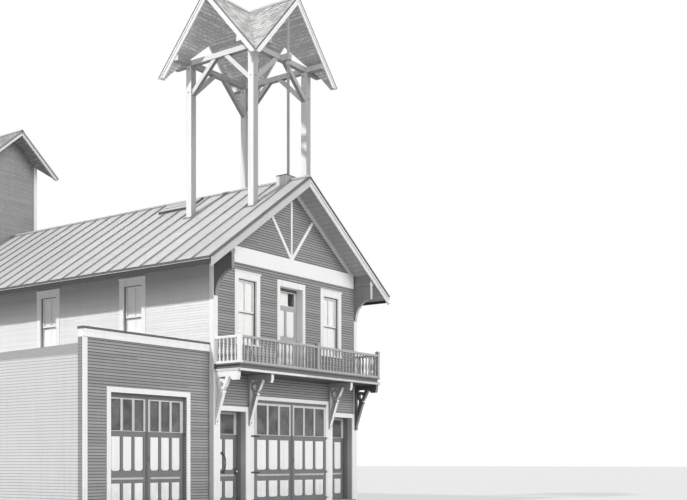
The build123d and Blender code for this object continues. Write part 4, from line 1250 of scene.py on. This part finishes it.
def addIronwork(s):
    fixed = bmesh.new()
    for name, leaf in doorLeaves.items():
        hinged, free, side = edgesOf(name, leaf)
        bm = bmesh.new()
        addHinges(bm, fixed, name, leaf, hinged, side, s)
        if name.startswith("entry"):
            addKnobPlates(bm, free, side, leaf, s)
        elif name.endswith("right"):
            addLatch(bm, free, side, leaf, s)
        painted = name.startswith("bay") or name == "engine_door_right"
        newPiece(name + "_ironwork", bm, "leafFrame" if painted else "iron", name)
    newPiece("casing_straps", fixed, "strapPaint")


# white knobs of the two entries, flat on the inner side so that they clear the wall; a knob is its
# distance from the surface, its radius and how flat it is
def addKnobs(s):
    for name in ("entry_door_left", "entry_door_right"):
        leaf = doorLeaves[name]
        free, side = edgesOf(name, leaf)[1:]
        bm = bmesh.new()
        for (surface, out), (off, radius, flat) in zip(surfacesOf(leaf), s["knobs"]):
            centre = Vector((free + side * ironSettings["handleIn"], surface + out * off,
                             ironSettings["knobHigh"]))
            made = bmesh.ops.create_uvsphere(bm, u_segments=20, v_segments=12, radius=radius,
                                             matrix=Matrix.Translation(centre))
            bmesh.ops.scale(bm, verts=made["verts"], vec=(1, flat, 1), space=Matrix.Translation(-centre))
        newPiece(name + "_knob", bm, "porcelain", name)


# a bent pull handle on the left entry door; a point is its x, how far it stands out and its z
def addPull(s):
    curve = bpy.data.curves.new("pull", "CURVE")
    curve.dimensions = "3D"
    spline = curve.splines.new("NURBS")
    face = doorLeaves["entry_door_left"]["face"]
    spline.points.add(len(s["pull"]) - 1)
    for point, (x, off, z) in zip(spline.points, s["pull"]):
        point.co = (x, face - off, z, 1)
    spline.order_u = 4
    spline.use_endpoint_u = True
    curve.bevel_depth = s["pullRadius"]
    curve.bevel_resolution = 3
    curve.resolution_u = 8
    holder = bpy.data.objects.new("pull", curve)
    mesh = bpy.data.meshes.new_from_object(holder)
    bpy.data.objects.remove(holder)
    bm = bmesh.new()
    bm.from_mesh(mesh)
    bpy.data.meshes.remove(mesh)
    for left, right, low, high in s["pullPlates"]:
        addBox(bm, (left, face, low), (right, face - 0.008, high))
    newPiece("entry_pull", bm, "bronze", "entry_door_left")


handleSettings = {
    "knobs": ((0.062, 0.029, 0.72), (0.028, 0.024, 0.5)),
    "pull": ((-2.435, 0.004, 1.415), (-2.43, 0.03, 1.40), (-2.38, 0.045, 1.36), (-2.335, 0.05, 1.27),
             (-2.335, 0.05, 1.14), (-2.345, 0.045, 1.02), (-2.37, 0.03, 0.95), (-2.385, 0.004, 0.935)),
    "pullRadius": 0.011, "pullPlates": ((-2.475, -2.405, 1.385, 1.445), (-2.45, -2.32, 0.905, 0.955)),
}
addIronwork(ironSettings)
addKnobs(handleSettings)
addPull(handleSettings)
print("ironwork fitted")

# window bars, dark strips of painted shadow, drip caps and blinds
windowSettings = {
    "bar": 0.022, "barDepth": (0.006, 0.030), "reveal": 0.352, "revealDepth": 0.03, "setback": 0.06,
    "sash": 0.035, "stile": 0.05, "head": 0.028, "bead": 0.014, "shadow": 0.012, "blind": 0.108,
    "blindWide": 0.66, "blindGaps": (0.05, 0.06),
    "caps": ((0.52, 0.05, 0.155, 0.178), (0.505, 0.04, 0.135, 0.155)),
}
wallX = house["half"]
windowPlaces = (
    [((x, house["front"], "front"), windows["upper"]) for x in windows["xs"]]
    + [((-wallX, y, "left"), windows["sides"][0]) for y in windows["ys"]]
    + [((wallX, y, "right"), row) for y in windows["ys"] for row in windows["sides"]]
    + [((x, house["rear"], "rear"), row) for x in windows["xs"] for row in windows["sides"]]
)


def addWindows(s):
    bars, caps, beads = bmesh.new(), bmesh.new(), bmesh.new()
    bar, reveal, bead = s["bar"] / 2, s["reveal"], s["bead"]
    near, far = s["barDepth"]
    for number, (wall, (sill, head)) in enumerate(windowPlaces):
        place = wallMatrix(*wall)
        middle, top = (sill + head) / 2, head - s["head"]
        railFoot = middle - s["stile"] / 2
        upper, lower = -s["setback"], -s["setback"] - s["sash"]
        mergeInto(bars, boxMesh([
            ((-bar, upper - near, middle + s["stile"] / 2), (bar, upper - far, top - s["stile"])),
            ((-bar, lower - near, sill + 1.4 * s["stile"]), (bar, lower - far, railFoot)),
        ]), place)
        # dark strips at both sides and the head, and under the meeting rail: painted shadow in the corners
        # of the opening and between the sashes
        outer = -s["revealDepth"]
        mergeInto(beads, boxMesh([
            ((-reveal, outer, sill), (bead - reveal, upper, top)),
            ((reveal, outer, sill), (reveal - bead, upper, top)),
            ((-reveal, outer, top - bead), (reveal, upper, top)),
            ((-reveal, upper - 0.002, railFoot - s["shadow"]), (reveal, lower, railFoot)),
        ]), place)
        mergeInto(caps, boxMesh([((-wide, 0.0, head + low), (wide, out, head + high))
                                 for wide, out, low, high in s["caps"]]), place)
        # a roller blind drawn down inside
        blind = bmesh.new()
        low, high = sill + s["blindGaps"][0], head - s["blindGaps"][1]
        bmesh.ops.create_grid(blind, x_segments=4, y_segments=8, size=0.5)
        bmesh.ops.scale(blind, verts=blind.verts, vec=(s["blindWide"], high - low, 1))
        stand = Matrix.Rotation(math.pi / 2, 4, "X")
        stand.translation = (0, -s["blind"], (low + high) / 2)
        bmesh.ops.transform(blind, matrix=place @ stand, verts=blind.verts)
        sheet = newPiece(f"window_blind_{number + 1:02d}", blind, "blind")
    newPiece("window_bars", bars, "trimWhite")
    newPiece("window_shadow_strips", beads, "shadowStripDark")
    newPiece("window_drip_caps", caps, "trimLevel")


addWindows(windowSettings)

# the curtain behind the upper door's light, gathered to the left
curtainSettings = {"x": (-0.37, 0.21), "y": -5.835, "z": (5.42, 5.84), "fold": 0.012, "folds": 52}


def addCurtain(s):
    bm = bmesh.new()
    bmesh.ops.create_grid(bm, x_segments=60, y_segments=4, size=0.5)
    (left, right), (low, high) = s["x"], s["z"]
    for v in bm.verts:
        across = v.co.x + 0.5
        v.co = Vector((left + across * (right - left), s["y"] + s["fold"] * math.sin(across * s["folds"]),
                       low + (v.co.y + 0.5) * (high - low)))
    area = sum(face.calc_area() for face in bm.faces)
    sheet = newPiece("upper_door_curtain", bm, "blind")


addCurtain(curtainSettings)
print("windows finished")

# bolts and flashings of the belfry; on the roof a bar is its lift, its width and its depth
belfryDetail = {
    "bolt": 0.014, "boltHigh": 0.012, "boltHeights": (11.42, 12.06), "flashing": (0.008, 0.07, 0.012),
    "beside": 0.03, "corner": 0.06, "flashingHalf": 0.16,
}


def addBelfryDetail(s):
    half = belfry["post"] / 2
    posts = [(x, y) for x in (-belfry["postX"], belfry["postX"]) for y in belfry["postYs"]]
    bm = bmesh.new()
    for x, y in posts:
        for way in ((1, 0, 0), (-1, 0, 0), (0, 1, 0), (0, -1, 0)):
            for z in s["boltHeights"]:
                addBolt(bm, Vector((x, y, z)) + Vector(way) * half, way, s["bolt"], s["boltHigh"])
    newPiece("belfry_bolts", bm, "iron")
    bm = bmesh.new()
    long, reach = s["flashingHalf"], half + s["corner"]
    for x, y in posts:
        for edge in (-1, 1):
            off = edge * (half + s["beside"])
            addRoofBar(bm, (x - long, y + off), (x + long, y + off), *s["flashing"])
            addRoofBar(bm, (x + off, y - reach), (x + off, y + reach), *s["flashing"])
    newPiece("post_flashings", bm, "seamMetal")


# a low hatch on the left slope behind the belfry
hatchSettings = {"x": (-0.58, -0.05), "y": (-2.9, -1.64), "lid": (0.063, 0.02), "soft": 0.005,
                 "welt": (0.077, 0.014, 0.012), "weltIn": (0.16, 0.02), "curb": (0.022, 0.03, 0.064)}


def addHatch(s):
    (left, right), (near, far) = s["x"], s["y"]
    middle, (lift, thick) = (left + right) / 2, s["lid"]
    bm = bmesh.new()
    addRoofBar(bm, (middle, near), (middle, far), lift, (right - left) * roofSteep, thick)
    softenEdges(bm, s["soft"])
    inX, inY = s["weltIn"]
    for x in (left + inX, right - inX):  # welts of the sheet on the lid
        addRoofBar(bm, (x, near + inY), (x, far - inY), *s["welt"])
    newPiece("roof_hatch_lid", bm, "ridgeMetal")
    bm = bmesh.new()
    for start, end in (((left, near), (left, far)), ((right, near), (right, far)),
                       ((left, near), (right, near)), ((left, far), (right, far))):
        addRoofBar(bm, start, end, *s["curb"])
    newPiece("roof_hatch_curb", bm, "edgeMetal")


# the timber block that holds the mast, and the cover of the curb at its foot
mastDetail = {
    "mast_clamp": {"boxes": [((-0.07, -6.08, 12.12), (0.07, -5.80, 12.30)),
                             ((-0.075, -6.06, 12.18), (0.075, -5.96, 12.24))],
                   "soft": 0.008, "finish": "beams", "slot": "weathered_timber"},
    "mast_curb_cover": {"boxes": [((-0.215, -6.115, 8.955), (0.215, -5.745, 8.975))],
                        "soft": 0.006, "finish": "edgeMetal", "slot": "metal_roof"},
}


def addMastDetail(pieces):
    for name, s in pieces.items():
        bm = boxMesh(s["boxes"])
        softenEdges(bm, s["soft"])
        newPiece(name, bm, s["finish"])


addBelfryDetail(belfryDetail)
addHatch(hatchSettings)
addMastDetail(mastDetail)

# foundation stones, and iron bolts at the feet of the scroll brackets
footing = {"height": 0.098, "proud": 0.012, "lengths": (0.28, 0.6), "joint": 0.004, "shortest": 0.15,
           "seed": 77}
bracketBolts = {"xs": (-3.0, -1.727, 1.727, 3.0), "wall": (2.2, 2.62), "wallOut": 0.08, "deck": 3.36,
                "deckOut": 0.5, "radius": 0.016, "high": 0.012}


def addFooting(s):
    rng = random.Random(s["seed"])
    bm = bmesh.new()
    tone = bm.faces.layers.float.new("tone")
    side, front, rear = house["half"], house["front"], house["rear"]
    left, bayFront, bayRear = bay["left"], bay["front"], bay["rear"]
    wide, towerRear = tower["half"], tower["rear"]
    runs = [
        ((-side, front), (side, front), (0, -1)), ((left, bayFront), (-side, bayFront), (0, -1)),
        ((left, bayFront), (left, bayRear), (-1, 0)), ((left, bayRear), (-side, bayRear), (0, 1)),
        ((-side, bayRear), (-side, rear), (-1, 0)), ((side, front), (side, rear), (1, 0)),
        ((-side, rear), (-wide, rear), (0, 1)), ((wide, rear), (side, rear), (0, 1)),
        ((-wide, rear), (-wide, towerRear), (-1, 0)), ((wide, rear), (wide, towerRear), (1, 0)),
        ((-wide, towerRear), (wide, towerRear), (0, 1)),
    ]
    for start, end, out in runs:
        start, end, out = Vector((*start, 0)), Vector((*end, 0)), Vector((*out, 0))
        length = (end - start).length
        way = (end - start).normalized()
        at = 0.0
        while at < length - 0.01:
            reach = min(at + rng.uniform(*s["lengths"]), length)
            if length - reach < s["shortest"]:
                reach = length
            proud = s["proud"] * rng.uniform(0.3, 1.0)
            corner = start + way * (reach - s["joint"]) + out * proud + up * s["height"]
            made = addBox(bm, start + way * (at + s["joint"]), corner)
            giveTone(made, tone, rng.uniform(-1, 1))
            at = reach
    newPiece("footing_stones", bm, "stone")


def addBracketBolts(s):
    bm = bmesh.new()
    for x in s["xs"]:
        for z in s["wall"]:
            addBolt(bm, (x, house["front"] - s["wallOut"], z), (0, -1, 0), s["radius"], s["high"])
        addBolt(bm, (x, house["front"] - s["deckOut"], s["deck"]), -up, s["radius"], s["high"])
    newPiece("bracket_bolts", bm, "iron")


addFooting(footing)
addBracketBolts(bracketBolts)
print("small pieces finished")
